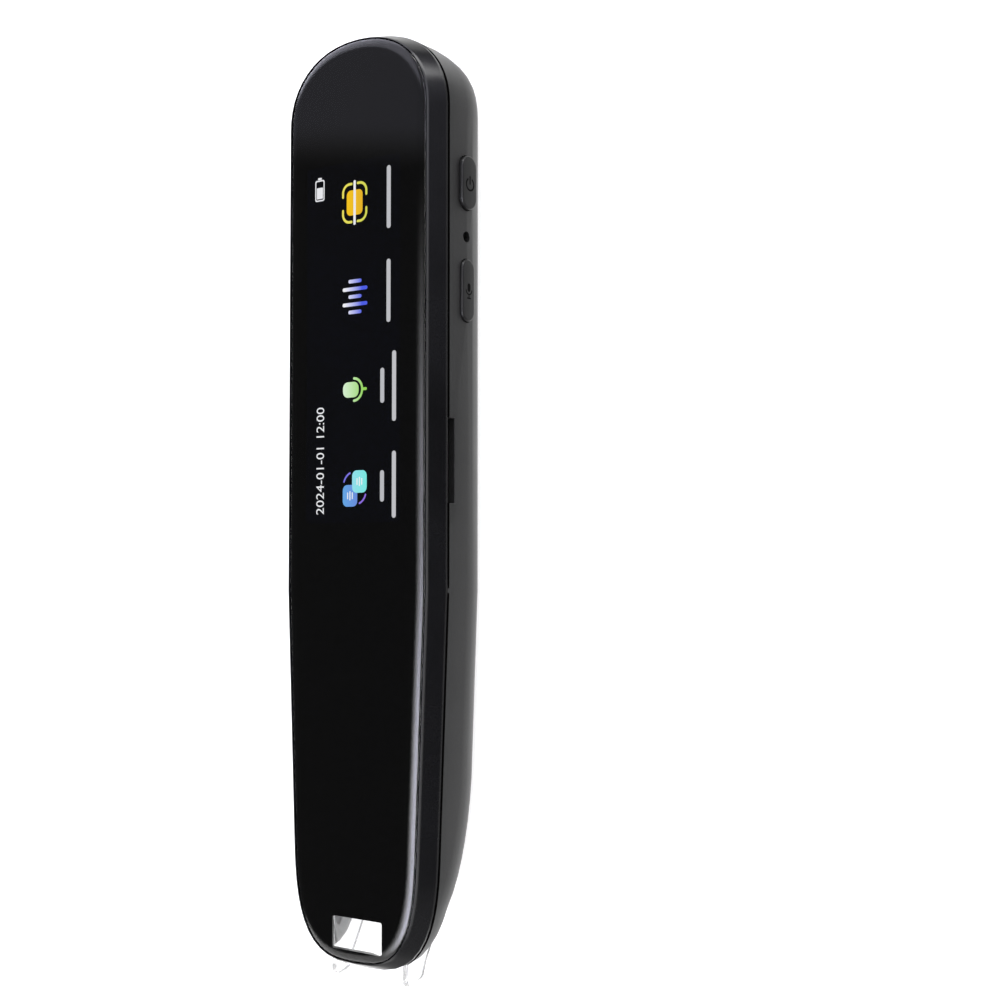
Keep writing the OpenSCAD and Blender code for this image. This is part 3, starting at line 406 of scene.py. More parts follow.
# Each moulded finish: tone, lighter tone and roughness, then its grain in millimetres
MATERIALS = {
    "frame_plastic": moulded("frame_plastic", (0.0022, 0.0022, 0.0028), (0.0044, 0.0044, 0.0056), 0.24,
                             grain=0.12, depth=0.001, worn=(0.016, 0.016, 0.018), wear_radius=0.12,
                             soft_edge=0.12, Specular_IOR_Level=0.4),
    "shell_plastic": moulded("shell_plastic", (0.011, 0.011, 0.0112), (0.03, 0.03, 0.0295), 0.4,
                             grain=0.2, depth=0.01, worn=(0.05, 0.05, 0.05), wear_radius=0.2,
                             soft_edge=0.12),
    "plate_plastic": moulded("plate_plastic", (0.01, 0.01, 0.0102), (0.026, 0.026, 0.0255), 0.42,
                             grain=0.18, depth=0.009, worn=(0.05, 0.05, 0.05), wear_radius=0.2,
                             soft_edge=0.15),
    "button_plastic": moulded("button_plastic", (0.007, 0.007, 0.0072), (0.016, 0.016, 0.016), 0.34,
                              grain=0.16, depth=0.005, worn=(0.07, 0.07, 0.07), wear_radius=0.25,
                              soft_edge=0.22),
    "chamber_plastic": moulded("chamber_plastic", (0.006, 0.006, 0.008), (0.014, 0.013, 0.018), 0.34,
                               grain=0.3, depth=0.004, flow=8.0),
    "chip_black": moulded("chip_black", (0.02, 0.02, 0.021), (0.04, 0.04, 0.042), 0.5, grain=0.1,
                          depth=0.004, flow=4.0),
    "foam": moulded("foam", (0.02, 0.02, 0.022), (0.06, 0.06, 0.065), 0.85, grain=0.35, depth=0.08,
                    flow=6.0),
    "adhesive": moulded("adhesive", (0.012, 0.012, 0.013), (0.03, 0.03, 0.032), 0.55, grain=0.25,
                        depth=0.01, flow=5.0),
    "battery_foil": moulded("battery_foil", (0.34, 0.35, 0.37), (0.46, 0.47, 0.49), 0.32, grain=1.2,
                            depth=0.03, flow=12.0, Metallic=0.85),
    "light_board": moulded("light_board", (0.62, 0.62, 0.6), (0.72, 0.72, 0.7), 0.4, grain=0.25,
                           depth=0.003, flow=5.0),
    "lamp_resin": moulded("lamp_resin", (0.82, 0.72, 0.28), (0.9, 0.84, 0.45), 0.25, grain=0.3,
                          depth=0.002, flow=2.0),
    "flex_film": moulded("flex_film", (0.3, 0.12, 0.02), (0.42, 0.19, 0.04), 0.3, grain=0.4,
                         depth=0.004, flow=3.0),
    "switch_metal": metal("switch_metal", (0.62, 0.62, 0.63), (0.4, 0.4, 0.41), 0.3),
    "socket_metal": metal("socket_metal", (0.6, 0.6, 0.62), (0.36, 0.36, 0.38), 0.28),
    "screw_steel": metal("screw_steel", (0.5, 0.5, 0.52), (0.26, 0.26, 0.28), 0.3),
    "shield_metal": metal("shield_metal", (0.6, 0.6, 0.6), (0.42, 0.42, 0.42), 0.35, line=0.2),
    "speaker_metal": metal("speaker_metal", (0.42, 0.42, 0.44), (0.22, 0.22, 0.24), 0.34),
    "spring_steel": metal("spring_steel", (0.72, 0.72, 0.74), (0.45, 0.45, 0.48), 0.2, line=0.06),
    "mesh_cloth": woven("mesh_cloth", (0.006, 0.006, 0.007), (0.05, 0.05, 0.055), 0.25),
    "circuit_board": circuit("circuit_board", (0.01, 0.09, 0.035), (0.02, 0.16, 0.06), (0.6, 0.6, 0.58)),
    "cover_glass": clear("cover_glass", (1.0, 1.0, 1.0), (0.97, 0.98, 1.0), 0.0, IOR=1.5),
    "clear_tip": clear("clear_tip", (0.985, 0.988, 1.0), (0.93, 0.935, 0.98), 0.0, frosted=BAR_FROM,
                       IOR=1.32, Alpha=0.78),
    "lens_glass": clear("lens_glass", (0.75, 0.8, 1.0), (0.6, 0.66, 0.95), 0.0, IOR=1.6),
    "display": moulded("display", (0.0012, 0.0014, 0.003), (0.002, 0.0024, 0.006), 0.3, grain=0.12,
                       depth=0.0, flow=20.0, Specular_IOR_Level=0.0),
}
INK = moulded("print_ink", (0.0012, 0.0012, 0.0014), (0.002, 0.002, 0.0024), 0.45, grain=0.1,
              depth=0.0, flow=25.0, Specular_IOR_Level=0.0)
MARKING = moulded("button_marking", (0.0015, 0.0015, 0.0015), (0.003, 0.003, 0.003), 0.6, grain=0.1,
                  depth=0.002, flow=1.0, Specular_IOR_Level=0.05)
# Near-black finish without reflection, for the painted shadow along the parting line
SHADOW = moulded("parting_shadow", (0.0008, 0.0008, 0.0008), (0.002, 0.002, 0.002), 0.7, grain=0.2,
                 depth=0.0, flow=4.0, Specular_IOR_Level=0.0)

# Each glow: colour at one place, colour at another, brightness and the two places in X
GLOW = {
    "white": glowing("glow_white", (0.86, 0.87, 0.9), (0.98, 0.98, 1.0), 1.0, -11, 9),
    "soft": glowing("glow_soft", (0.5, 0.51, 0.54), (0.6, 0.6, 0.63), 1.0, 4, 9),
    "amber": glowing("glow_amber", (1.0, 0.6, 0.01), (0.85, 0.48, 0.02), 1.0, -2.4, 1.2),
    "pale": glowing("glow_pale", (0.9, 0.8, 0.12), (0.72, 0.74, 0.1), 1.0, -3.2, 2.0),
    "bars": glowing("glow_bars", (0.95, 0.95, 1.0), (0.08, 0.12, 0.85), 1.0, -2.7, 1.0),
    "leaf": glowing("glow_leaf", (0.75, 0.95, 0.7), (0.32, 0.72, 0.1), 1.0, -3.0, 1.6),
    "violet": glowing("glow_violet", (0.2, 0.2, 0.85), (0.32, 0.16, 0.8), 1.0, -3.0, 2.4),
    "blue": glowing("glow_blue", (0.14, 0.42, 0.85), (0.16, 0.28, 0.78), 1.0, -3.0, 0.3),
    "sky": glowing("glow_sky", (0.32, 0.8, 0.92), (0.2, 0.88, 0.8), 1.0, -1.0, 2.2),
}


# Outlines, meshes and pieces

def bulge(t, power):
    """Share of the full width left at t, from 0 to 1, of a rounded end's length."""
    return max(0.0, 1 - min(1.0, max(0.0, t)) ** power) ** (1 / power)


def half_width(y, side, top, nose):
    """Half width of the pen's plan at y, drawn in by side, top and nose."""
    straight = BODY_W / 2 - side - TAPER * max(0.0, TAPER_FROM - BODY_L / 2 - y)
    crown = (y - BODY_L / 2 + TOP_ROUND) / (TOP_ROUND - top)
    chin = (NOSE_ROUND - BODY_L / 2 - y) / (NOSE_ROUND - nose)
    return max(LEAST_HALF, straight * bulge(crown, TOP_POWER) * bulge(chin, NOSE_POWER))


def stations(top, nose, steps, extra):
    """Places along the pen, close together where the ends turn, with any extra ones."""
    quarter = [math.pi / 2 * i / steps for i in range(steps + 1)]
    chin = [NOSE_ROUND - BODY_L / 2 - (NOSE_ROUND - nose) * math.cos(a) for a in quarter]
    crown = [BODY_L / 2 - TOP_ROUND + (TOP_ROUND - top) * math.sin(a) for a in quarter]
    middle = [chin[-1] + (crown[0] - chin[-1]) * k / MIDDLE_STEPS for k in range(1, MIDDLE_STEPS)]
    return sorted(chin + middle + crown + list(extra))


def outline(side, top, nose, steps=40, extra=()):
    """Ring of plan points, anticlockwise seen from the display."""
    right = [(half_width(y, side, top, nose), y) for y in stations(top, nose, steps, extra)]
    return right + [(-x, y) for x, y in reversed(right)]


def finish_piece(obj, body, material, smooth=30):
    """Gives a piece its material, shading, body and slot."""
    obj.data.materials.clear()
    obj.data.materials.append(material)
    if smooth:
        obj.data.shade_smooth()
        obj.data.set_sharp_from_angle(angle=math.radians(smooth))
    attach(obj, body)
    return obj


def linked(name, data):
    """Object of a mesh, curve, lamp or camera, in the scene."""
    obj = bpy.data.objects.new(name, data)
    bpy.context.scene.collection.objects.link(obj)
    return obj


def evaluated_mesh(draft, name):
    """Plain mesh of a draft object, which is then removed."""
    bpy.context.view_layer.update()
    graph = bpy.context.evaluated_depsgraph_get()
    mesh = bpy.data.meshes.new_from_object(draft.evaluated_get(graph))
    mesh.name = name
    bpy.data.objects.remove(draft)
    return mesh


def mesh_piece(name, points, faces, body, material, smooth=30):
    """Piece from points in millimetres and faces."""
    mesh = bpy.data.meshes.new(name)
    mesh.from_pydata([Vector(p) * MM for p in points], [], faces)
    mesh.validate()
    return finish_piece(linked(name, mesh), body, material, smooth)


def ring_faces(rings, count):
    """Faces of a closed loft through rings of count points."""
    faces = []
    for j in range(rings - 1):
        for i in range(count):
            a, b = j * count + i, j * count + (i + 1) % count
            faces.append((a, b, b + count, a + count))
    faces.append(tuple(range(count - 1, -1, -1)))
    faces.append(tuple(range((rings - 1) * count, rings * count)))
    return faces


def smoothed_node(node, smooth=30):
    """Copy of a CAD node with its triangles joined, so that its rounded faces shade smoothly."""
    source = NODES[node]
    mesh = source.data.copy()
    mesh.name = node + "_skin"
    work = bmesh.new()
    work.from_mesh(mesh)
    bmesh.ops.remove_doubles(work, verts=work.verts, dist=WELD * MM)
    work.to_mesh(mesh)
    work.free()
    if mesh.has_custom_normals:
        mesh.attributes.remove(mesh.attributes["custom_normal"])
    obj = linked(mesh.name, mesh)
    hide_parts(node)
    return finish_piece(obj, source["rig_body"], MATERIALS[SLOTS[node]], smooth)


def flat_shape(loops, place, thick, name, body, material):
    """Thin plate from plan loops, the first outside and the rest open; place maps to the pen."""
    work = bmesh.new()
    edges = []
    for loop in loops:
        verts = [work.verts.new((x * MM, y * MM, 0)) for x, y in loop]
        edges += [work.edges.new((v, verts[(i + 1) % len(verts)])) for i, v in enumerate(verts)]
    filled = bmesh.ops.triangle_fill(work, edges=edges, use_beauty=True, use_dissolve=False,
                                     normal=(0, 0, 1))
    base = [f for f in filled["geom"] if isinstance(f, bmesh.types.BMFace)]
    raised = bmesh.ops.extrude_face_region(work, geom=base)
    top = [v for v in raised["geom"] if isinstance(v, bmesh.types.BMVert)]
    bmesh.ops.translate(work, verts=top, vec=(0, 0, thick * MM))
    bmesh.ops.recalc_face_normals(work, faces=work.faces)
    bmesh.ops.transform(work, matrix=place, verts=work.verts)
    mesh = bpy.data.meshes.new(name)
    work.to_mesh(mesh)
    work.free()
    return finish_piece(linked(name, mesh), body, material, 0)


def rounded(x0, x1, y0, y1, r, steps=5):
    """Loop of a rectangle with rounded corners."""
    loop = []
    for cx, cy, start in ((x1 - r, y1 - r, 0), (x0 + r, y1 - r, 90), (x0 + r, y0 + r, 180),
                          (x1 - r, y0 + r, 270)):
        for i in range(steps + 1):
            a = math.radians(start + 90 * i / steps)
            loop.append((cx + r * math.cos(a), cy + r * math.sin(a)))
    return loop


def arc(cx, cy, r, start, stop, steps=12):
    """Points of an arc, angles in degrees."""
    turns = [math.radians(start + (stop - start) * i / steps) for i in range(steps + 1)]
    return [(cx + r * math.cos(a), cy + r * math.sin(a)) for a in turns]


def stroke(path, width):
    """Loop of a line of even width with rounded ends."""
    sides = ([], [])
    for i, (x, y) in enumerate(path):
        (ax, ay), (bx, by) = path[max(0, i - 1)], path[min(len(path) - 1, i + 1)]
        long = math.hypot(bx - ax, by - ay)
        nx, ny = (ay - by) / long * width / 2, (bx - ax) / long * width / 2
        sides[0].append((x + nx, y + ny))
        sides[1].append((x - nx, y - ny))
    loop = []
    for here, across in ((sides[0], sides[1]), (sides[1][::-1], sides[0][::-1])):
        loop += here
        (x0, y0), (x1, y1) = here[-1], across[-1]
        cx, cy = (x0 + x1) / 2, (y0 + y1) / 2
        for k in (1, 2, 3):
            a = -math.pi * k / 4
            c, s = math.cos(a), math.sin(a)
            loop.append((cx + (x0 - cx) * c - (y0 - cy) * s, cy + (x0 - cx) * s + (y0 - cy) * c))
    return loop


def dress_nodes():
    """Smooth copies of the nodes with rounded faces, and a material for every node."""
    for node in ROUNDED_NODES:
        smoothed_node(node)
    for node, obj in NODES.items():
        for slot in obj.material_slots:
            slot.material = MATERIALS[SLOTS[node]]


def cover_glass_slab():
    """Glass whose edge curves down to the frame."""
    rings = [[(x, y, SLAB_Z) for x, y in outline(GLASS_SIDE, GLASS_TOP, GLASS_NOSE)]]
    for i in range(EDGE_STEPS + 1):
        a = math.pi / 2 * i / EDGE_STEPS
        inward = GLASS_EDGE * (1 - math.cos(a))
        drop = GLASS_DROP * (1 - math.sin(a))
        ring = outline(GLASS_SIDE + inward, GLASS_TOP + inward, GLASS_NOSE + inward)
        rings.append([(x, y, BODY_T - drop) for x, y in ring])
    points = [point for ring in rings for point in ring]
    slab = mesh_piece("cover_glass_slab", points, ring_faces(len(rings), len(rings[0])),
                      "pen_body", MATERIALS["cover_glass"])
    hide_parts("cover_glass")


def printed_border():
    """Black print under the glass, open over the display and at the clear window."""
    rim = outline(GLASS_SIDE + PRINT_IN, GLASS_TOP + PRINT_IN, GLASS_NOSE + PRINT_IN)
    window = rounded(*WINDOW, WINDOW_ROUND)
    lit = rounded(*LIT_AREA, LIT_ROUND)
    flat_shape([rim, window, lit], Matrix.Translation((0, 0, PRINT_Z * MM)), PRINT_T,
               "printed_border", "pen_body", INK)


def parting_shadow_line():
    """Painted shadow: a dark strip standing just proud where the frame meets the shell, open at the card
    slot and at the nose.
    """
    slot_ends = (CARD_FROM, CARD_TO)
    outer = outline(-SEAM_PROUD, -SEAM_PROUD, -SEAM_PROUD, extra=slot_ends)
    inner = outline(SEAM_DEEP, SEAM_DEEP, SEAM_DEEP, extra=slot_ends)
    corners = ((outer, SEAM_Z0), (outer, SEAM_Z1), (inner, SEAM_Z1), (inner, SEAM_Z0))
    points = [(x, y, z) for ring, z in corners for x, y in ring]
    count = len(outer)

    def kept(i):
        """Whether the line runs between outline points i and i + 1."""
        (x, y0), (_, y1) = outer[i % count], outer[(i + 1) % count]
        middle = (y0 + y1) / 2
        return middle > SEAM_NOSE and not (x > 0 and CARD_FROM < middle < CARD_TO)

    faces = []
    for i in filter(kept, range(count)):
        j = (i + 1) % count
        for k in range(4):
            low, high = k * count, (k + 1) % 4 * count
            faces.append((low + i, low + j, high + j, high + i))
        if not kept(i - 1):
            faces.append((i, count + i, 2 * count + i, 3 * count + i))
        if not kept(i + 1):
            faces.append((3 * count + j, 2 * count + j, count + j, j))
    mesh_piece("parting_shadow_line", points, faces, "pen_body", SHADOW, 40)


dress_nodes()
cover_glass_slab()
printed_border()
parting_shadow_line()


# Picture on the display, in millimetres on the pen

def on_display(name, loops, colour, lift=0.0):
    """Lit shape just above the display, raised by lift where it lies on another one."""
    place = Matrix.Translation((0, 0, (GLASS_Z + PICTURE_T + lift) * MM))
    return flat_shape(loops, place, PICTURE_T, name, "pen_body", GLOW[colour])


def bar(x0, x1, y0, y1):
    """Loops of a bar with round ends."""
    return [rounded(x0, x1, y0, y1, min(x1 - x0, y1 - y0) / 2 - 0.01)]


def around(x, y, half_x, half_y):
    """Sides of a box about a point."""
    return x - half_x, x + half_x, y - half_y, y + half_y


def clock_digits(text, x_top, x_base, y0, y1):
    """Plain digits that run along the pen, fitted to a box."""
    curve = bpy.data.curves.new("clock_digits", "FONT")
    curve.body = text
    curve.resolution_u = 3
    draft = linked("clock_digits_draft", curve)
    mesh = evaluated_mesh(draft, "clock_digits")
    xs = [v.co.x for v in mesh.vertices]
    ys = [v.co.y for v in mesh.vertices]
    for v in mesh.vertices:
        along = (v.co.x - min(xs)) / (max(xs) - min(xs))
        high = (v.co.y - min(ys)) / (max(ys) - min(ys))
        v.co = Vector((x_base + (x_top - x_base) * high, y0 + (y1 - y0) * along, DIGITS_Z)) * MM
    mesh.materials.clear()
    return finish_piece(linked("clock_digits", mesh), "pen_body", GLOW["white"], 0)


def battery_sign(x0, x1, y0, y1):
    """Outlined battery, a little over half full, with its cap towards the top end."""
    wall, gap, cap_in, cap_long = 0.22, 0.35, 0.6, 0.4
    filled_to = at(126.15)
    outside = rounded(x0, x1, y0, y1, 0.35)
    inside = rounded(x0 + wall, x1 - wall, y0 + wall, y1 - wall, 0.2)
    on_display("battery_sign_case", [outside, inside], "white")
    fill = rounded(x0 + gap, x1 - gap, y0 + 0.4, filled_to, 0.12)
    on_display("battery_sign_fill", [fill], "white")
    cap = rounded(x0 + cap_in, x1 - cap_in, y1 + 0.05, y1 + cap_long, 0.12)
    on_display("battery_sign_cap", [cap], "white")


def scan_sign(x, y):
    """Rounded block between four corner brackets, with a line through it."""
    on_display("scan_sign_block", [rounded(*around(x, y, 1.7, 2.05), 0.8)], "amber")
    on_display("scan_sign_line", bar(*around(x, y, 0.25, 3.65)), "white", LIFT)
    turn, reach_x, reach_y = 1.4, 2.5, 3.1
    for k, (sx, sy, start) in enumerate(((1, 1, 0), (-1, 1, 90), (-1, -1, 180), (1, -1, 270))):
        curve = arc(x + sx * (reach_x - turn), y + sy * (reach_y - turn), turn, start, start + 90)
        ends = [(x + sx * reach_x, y + sy * 1.1), (x + sx * 0.65, y + sy * reach_y)]
        if sx * sy < 0:
            ends.reverse()
        on_display("scan_sign_corner_%d" % k, [stroke([ends[0]] + curve + [ends[1]], SIGN_LINE)], "pale")


def sound_sign(x, y):
    """Five bars, short and long in turn."""
    pitch, thick = 1.25, 0.6
    for k in range(5):
        half = 2.65 if k % 2 else 1.4
        on_display("sound_sign_bar_%d" % k, bar(*around(x, y + (k - 2) * pitch, half, thick / 2)), "bars")


def voice_sign(x, y):
    """Capsule in its cradle, with a stem."""
    capsule = rounded(x - 2.6, x + 0.75, y - 1.25, y + 1.25, 1.0)
    on_display("voice_sign_capsule", [capsule], "leaf")
    cradle = stroke(arc(x - 0.3, y, 1.8, -88, 88, 20), SIGN_LINE)
    on_display("voice_sign_cradle", [cradle], "leaf")
    on_display("voice_sign_stem", bar(x + 1.5, x + 2.5, y - 0.24, y + 0.24), "leaf", LIFT)


def swap_sign(x, y):
    """Two overlapping tiles with rows on them, and two turning arcs."""
    low_tile = rounded(x - 2.65, x + 0.45, y - 2.95, y + 0.55, 0.9)
    high_tile = rounded(x - 0.65, x + 2.45, y - 0.75, y + 2.85, 0.9)
    on_display("swap_sign_tile_low", [low_tile], "blue")
    on_display("swap_sign_tile_high", [high_tile], "sky", LIFT)
    radius, thin, row_lift = 2.2, 0.3, 0.009
    on_display("swap_sign_arc_low", [stroke(arc(x + 0.1, y - 0.4, radius, -68, -18), thin)], "violet")
    on_display("swap_sign_arc_high", [stroke(arc(x - 0.3, y + 0.4, radius, 112, 162), thin)], "violet")
    for k, (tile_x, tile_y) in enumerate(((-1.1, -1.2), (0.9, 1.05))):
        for j in (-1, 0, 1):
            half = 0.55 if j else 0.75
            row = bar(*around(x + tile_x + 0.5 * j, y + tile_y, 0.11, half))
            on_display("swap_sign_row_%d_%d" % (k, j + 1), row, "white", row_lift)


def label_bars():
    """Plain bars where the labels are, each from one place along the pen to another."""
    for k, rows in enumerate(LABELS):
        for row, (start, stop, x) in enumerate(rows):
            line = bar(x - LABEL_HALF, x + LABEL_HALF, at(start), at(stop))
            on_display("label_bar_%d_%d" % (k, row), line, "soft")


clock_digits("2024-01-01 12:00", -8.75, -7.05, at(72.4), at(89.9))
battery_sign(-9.25, -7.2, at(123.9), at(127.4))
scan_sign(-0.62, at(122.75))
sound_sign(-0.48, at(107.45))
voice_sign(-0.38, at(92.4))
swap_sign(-0.3, at(76.5))
label_bars()


# Signs on the buttons, in millimetres about each button's middle

def on_button(name, loops, key):
    """Thin dark marking on a button's face, drawn with its up direction along the pen."""
    y, height = BUTTONS[key]
    face = BODY_W / 2 + height - MARK_T + MARK_PROUD
    place = Matrix(((0, 0, 1, face * MM), (0, 1, 0, y * MM), (-1, 0, 0, BUTTON_Z * MM), (0, 0, 0, 1)))
    return flat_shape(loops, place, MARK_T, name, key, MARKING)


def power_sign():
    """Open ring with a line in its gap."""
    on_button("power_sign_ring", [stroke(arc(0, -0.3, 0.95, 125, 415, 30), 0.28)], "power_key")
    on_button("power_sign_line", bar(-0.14, 0.14, -0.35, 1.05), "power_key")


def microphone_sign():
    """Generic microphone: head, bow, post and foot."""
    on_button("voice_sign_head", bar(-0.36, 0.36, -0.25, 1.1), "voice_key")
    on_button("voice_sign_bow", [stroke(arc(0, 0.05, 0.72, 185, 355), 0.2)], "voice_key")
    on_button("voice_sign_post", bar(-0.11, 0.11, -1.2, -0.72), "voice_key")
    on_button("voice_sign_foot", bar(-0.5, 0.5, -1.38, -1.16), "voice_key")


power_sign()
microphone_sign()


# Springs of the tip

def coil_tree():
    """Geometry Nodes tree of a wound spring along Z."""
    tree = bpy.data.node_groups.new("wound_spring", "GeometryNodeTree")
    sizes = (("Turns", SPRING_TURNS), ("Coil radius", (SPRING_D - SPRING_WIRE) / 2 * MM),
             ("Length", (SPRING_L - SPRING_WIRE) * MM), ("Wire radius", SPRING_WIRE / 2 * MM))
    for name, value in sizes:
        socket = tree.interface.new_socket(name, in_out="INPUT", socket_type="NodeSocketFloat")
        socket.default_value = value
    tree.interface.new_socket("Wire material", in_out="INPUT", socket_type="NodeSocketMaterial")
    tree.interface.new_socket("Geometry", in_out="OUTPUT", socket_type="NodeSocketGeometry")
    t = Tree(tree)
    start = t.add("NodeGroupInput").outputs
    spiral = t.add("GeometryNodeCurveSpiral", Rotations=start["Turns"], Height=start["Length"])
    spiral.inputs["Resolution"].default_value = 28
    for key in ("Start Radius", "End Radius"):
        t.set(spiral, key, start["Coil radius"])
    wire = t.add("GeometryNodeCurvePrimitiveCircle")
    wire.inputs["Resolution"].default_value = 10
    t.set(wire, "Radius", start["Wire radius"])
    tube = t.add("GeometryNodeCurveToMesh", Curve=spiral.outputs["Curve"])
    t.set(tube, "Profile Curve", wire.outputs["Curve"])
    tube.inputs["Fill Caps"].default_value = True
    smooth = t.add("GeometryNodeSetShadeSmooth", Geometry=tube.outputs["Mesh"])
    real = t.add("GeometryNodeRealizeInstances", Geometry=smooth.outputs["Geometry"])
    dressed = t.add("GeometryNodeSetMaterial", Geometry=real.outputs["Geometry"])
    t.set(dressed, "Material", start["Wire material"])
    t.add("NodeGroupOutput", Geometry=dressed.outputs["Geometry"])
    return tree


def wound_wire(tree, name, material):
    """Plain mesh of one spring, made by the tree."""
    draft = linked(name + "_draft", bpy.data.meshes.new(name + "_draft"))
    modifier = draft.modifiers.new("made", "NODES")
    modifier.node_group = tree
    for item in tree.interface.items_tree:
        if item.item_type == "SOCKET" and item.in_out == "INPUT" and item.name == "Wire material":
            modifier[item.identifier] = material
    return evaluated_mesh(draft, name)


def tip_springs():
    """A spring on each side of the nose, which in the pen shortens as the tip slides in; here each is a
    fixed mesh on the pen body.
    """
    tree = coil_tree()
    steel = MATERIALS["spring_steel"]
    lying = Matrix.Rotation(-math.pi / 2, 4, "X")
    for side, node in ((-1, "tip_spring_left"), (1, "tip_spring_right")):
        mesh = wound_wire(tree, node + "_wire", steel)
        foot = Vector((side * SPRING_X, at(SPRING_FROM) + SPRING_WIRE / 2, SPRING_Z))
        mesh.transform(Matrix.Translation(foot * MM) @ lying)
        wire = finish_piece(linked(mesh.name, mesh), "pen_body", steel, 40)
        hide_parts(node)
        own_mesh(wire)


tip_springs()


# Studio: places in metres, and brightness where 1 is white

def floor_level(t, x, y):
    """What the gloss sees of the floor: bright strips beside the pen and at both of its ends."""
    beside = t.ranged(x, 0.015, 0.024, 1.25, 0.42, "SMOOTHSTEP")
    beside = t.math("MULTIPLY", beside, t.ranged(x, 0.03, 0.055, 1.0, 0.3, "SMOOTHSTEP"))
    beside = t.math("MULTIPLY", beside, t.ranged(y, -0.1, -0.085, 0.2, 1.0, "SMOOTHSTEP"))
    nose = t.math("MULTIPLY", t.ranged(y, -0.076, -0.084, 0.0, NOSE_FLOOR_LEVEL, "SMOOTHSTEP"),
                  t.ranged(y, -0.088, -0.1, 1.0, 0.15, "SMOOTHSTEP"))
    near_crown = t.math("MULTIPLY", t.ranged(y, 0.072, 0.082, 0.0, 1.0, "SMOOTHSTEP"),
                        t.ranged(x, -0.012, 0.004, 0.0, 1.0, "SMOOTHSTEP"))
    crown = t.math("MAXIMUM", near_crown, t.ranged(y, 0.086, 0.095, 0.0, 1.0, "SMOOTHSTEP"))
    crown = t.math("MULTIPLY", crown, t.ranged(y, 0.11, 0.15, CROWN_FLOOR_LEVEL, 0.1, "SMOOTHSTEP"))
    return t.math("MAXIMUM", beside, t.math("MAXIMUM", nose, crown))


def floor_material():
    """Pale floor that reads as the white background, keeps the shadow and is open from below."""
    mat, t, shader = shader_of("studio_floor", {"Base_Color": FLOOR_COLOUR, "Roughness": 0.9})
    path = t.add("ShaderNodeLightPath").outputs
    parts = t.add("ShaderNodeSeparateXYZ", Vector=t.add("ShaderNodeTexCoord").outputs["Object"]).outputs
    seen = t.math("MAXIMUM", t.math("MULTIPLY", path["Is Camera Ray"], FLOOR_SEEN),
                  path["Is Transmission Ray"])
    glow = t.add("ShaderNodeEmission", Strength=seen)
    lit_floor = t.add("ShaderNodeAddShader")
    t.set(lit_floor, "0", shader.outputs[0])
    t.set(lit_floor, "1", glow.outputs[0])
    mirrored = t.add("ShaderNodeEmission", Strength=floor_level(t, parts["X"], parts["Y"]))
    split = t.add("ShaderNodeMixShader")
    t.set(split, "0", path["Is Glossy Ray"])
    t.set(split, "1", lit_floor.outputs[0])
    t.set(split, "2", mirrored.outputs[0])
    behind = t.add("ShaderNodeNewGeometry").outputs["Backfacing"]
    mix = t.add("ShaderNodeMixShader")
    t.set(mix, "0", t.math("MAXIMUM", behind, path["Is Shadow Ray"]))
    t.set(mix, "1", split.outputs[0])
    t.set(mix, "2", t.add("ShaderNodeBsdfTransparent").outputs[0])
    t.set(mat.node_tree.nodes["Material Output"], "Surface", mix.outputs[0])
    return mat


def pale_floor():
    """Wide square floor under the pen."""
    mesh = bpy.data.meshes.new("floor")
    corners = [(-1, -1), (1, -1), (1, 1), (-1, 1)]
    mesh.from_pydata([(x * FLOOR_REACH, y * FLOOR_REACH, 0) for x, y in corners], [], [(0, 1, 2, 3)])
    floor = linked("floor", mesh)
    floor.data.materials.append(floor_material())


def panel_levels(w, way, glossy):
    """Soft panels of the dark studio, by direction, and where they are tinted."""
    sideways = w.math("ARCTAN2", way["X"], way["Z"])
    above = w.ranged(way["Z"], 0.05, 0.15, 0.0, 1.0)
    strip = w.math("MULTIPLY", w.span(sideways, -0.68, -0.12, 0.1, 0.26),
                   w.span(way["Y"], -0.72, -0.4, -0.02, 0.24))
    added = w.ranged(way["Y"], 0.02, -0.14, 0.4, 6.4)
    strip_level = w.math("ADD", STRIP_LEVEL, w.math("MULTIPLY", glossy, added))
    lip = w.math("MULTIPLY", w.span(sideways, 0.44, 0.52, 0.64, 0.72),
                 w.span(way["Y"], -0.8, -0.6, 0.5, 0.75))
    strips = w.math("ADD", w.math("MULTIPLY", strip, strip_level), w.math("MULTIPLY", lip, LIP_LEVEL))
    strips = w.math("MULTIPLY", above, strips)
    top = w.math("MULTIPLY", w.ranged(way["Y"], *TOP_EDGE, 0.0, TOP_LEVEL, "SMOOTHSTEP"), above)
    crown = w.math("MULTIPLY", w.ranged(way["Y"], 0.33, 0.47, 0.0, 1.0, "SMOOTHSTEP"),
                   w.ranged(way["Z"], 0.66, 0.1, *CROWN_LEVELS))
    crown = w.math("MULTIPLY", crown, w.ranged(way["X"], -0.15, 0.0, 1.0, 0.1, "SMOOTHSTEP"))
    chin = w.math("MULTIPLY", w.ranged(way["Y"], -0.29, -0.42, 0.0, 1.0, "SMOOTHSTEP"),
                  w.ranged(way["Z"], 0.68, 0.3, *CHIN_LEVELS))
    chin = w.math("MULTIPLY", chin, w.ranged(way["X"], -0.12, 0.1, 1.0, 0.15, "SMOOTHSTEP"))
    level = w.math("ADD", w.math("ADD", top, w.math("ADD", crown, chin)), strips)
    tinted = w.math("MAXIMUM", strip, w.ranged(way["Y"], *TOP_EDGE, 0.0, 1.0, "SMOOTHSTEP"))
    return w.math("ADD", level, BASE_LEVEL), tinted


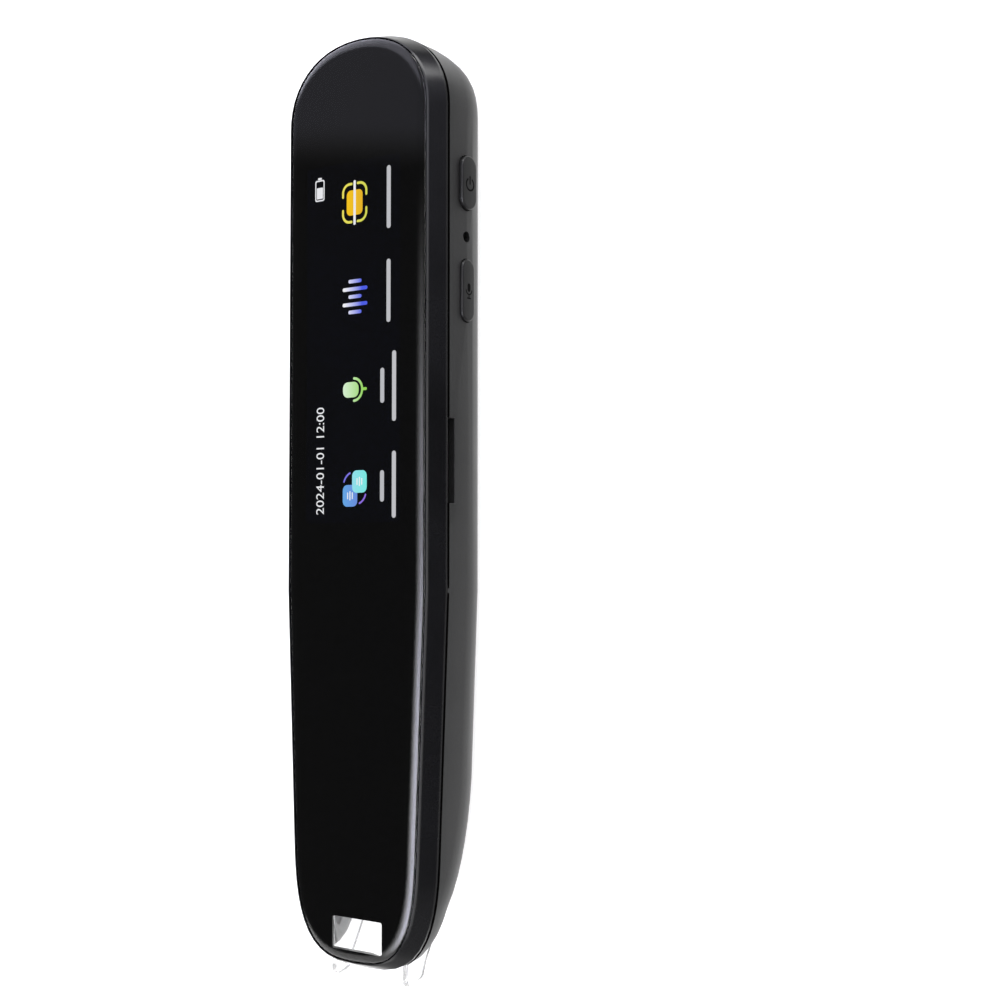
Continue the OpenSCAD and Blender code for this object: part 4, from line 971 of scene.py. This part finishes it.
def studio_world():
    """White all round for the camera; for reflections and fill a dark studio with soft panels."""
    world = bpy.data.worlds.new("studio")
    bpy.context.scene.world = world
    world.use_nodes = True
    w = Tree(world.node_tree)
    path = w.add("ShaderNodeLightPath").outputs
    way = w.add("ShaderNodeSeparateXYZ", Vector=w.add("ShaderNodeTexCoord").outputs["Generated"]).outputs
    level, tinted = panel_levels(w, way, path["Is Glossy Ray"])
    through = w.math("MULTIPLY", path["Is Transmission Ray"], w.ranged(way["Z"], 0.3, 0.5, 1.0, 0.8))
    seen = w.math("MAXIMUM", path["Is Camera Ray"], through)
    unseen = w.math("SUBTRACT", 1.0, seen)
    background = world.node_tree.nodes["Background"]
    w.set(background, "Color", w.blend(w.math("MULTIPLY", tinted, unseen), WHITE, COOL_WHITE))
    w.set(background, "Strength", w.math("ADD", w.math("MULTIPLY", level, unseen), seen))


def softbox(name, centre, target, width, height, radiance, mirrored=True):
    """Rectangular lamp of a given brightness; where it isn't mirrored, gloss doesn't show it."""
    data = bpy.data.lights.new(name, "AREA")
    data.shape = "RECTANGLE"
    data.size, data.size_y = width, height
    data.energy = radiance * math.pi * width * height
    lamp = linked(name, data)
    lamp.location = centre
    lamp.rotation_mode = "QUATERNION"
    lamp.rotation_quaternion = (Vector(target) - Vector(centre)).to_track_quat("-Z", "Y")
    lamp.visible_glossy = mirrored


def front_camera():
    """Camera at the photograph's front view, upright along the pen."""
    back = (CAMERA_AT - CAMERA_TARGET).normalized()
    right = Vector((0, 1, 0)).cross(back).normalized()
    turn = Matrix((right, back.cross(right), back)).transposed().to_4x4()
    data = bpy.data.cameras.new("camera")
    data.sensor_width = 36
    data.lens = CAMERA_LENS
    data.clip_start = 0.01
    camera = linked("camera", data)
    camera.matrix_world = Matrix.Translation(CAMERA_AT * MM) @ turn
    bpy.context.scene.camera = camera


pale_floor()
studio_world()
softbox("top_end", (0.3, 0.75, 0.34), (0, 0.05, 0.01), 0.5, 0.3, 7.0)
softbox("nose_end", (0.18, -0.8, 0.2), (0, -0.06, 0.01), 0.4, 0.25, 5.0, mirrored=False)
softbox("under_right", (0.5, 0.0, -0.5), (0, 0, 0), 0.4, 0.9, 2.2)
front_camera()
bpy.context.scene.view_settings.view_transform = "Standard"
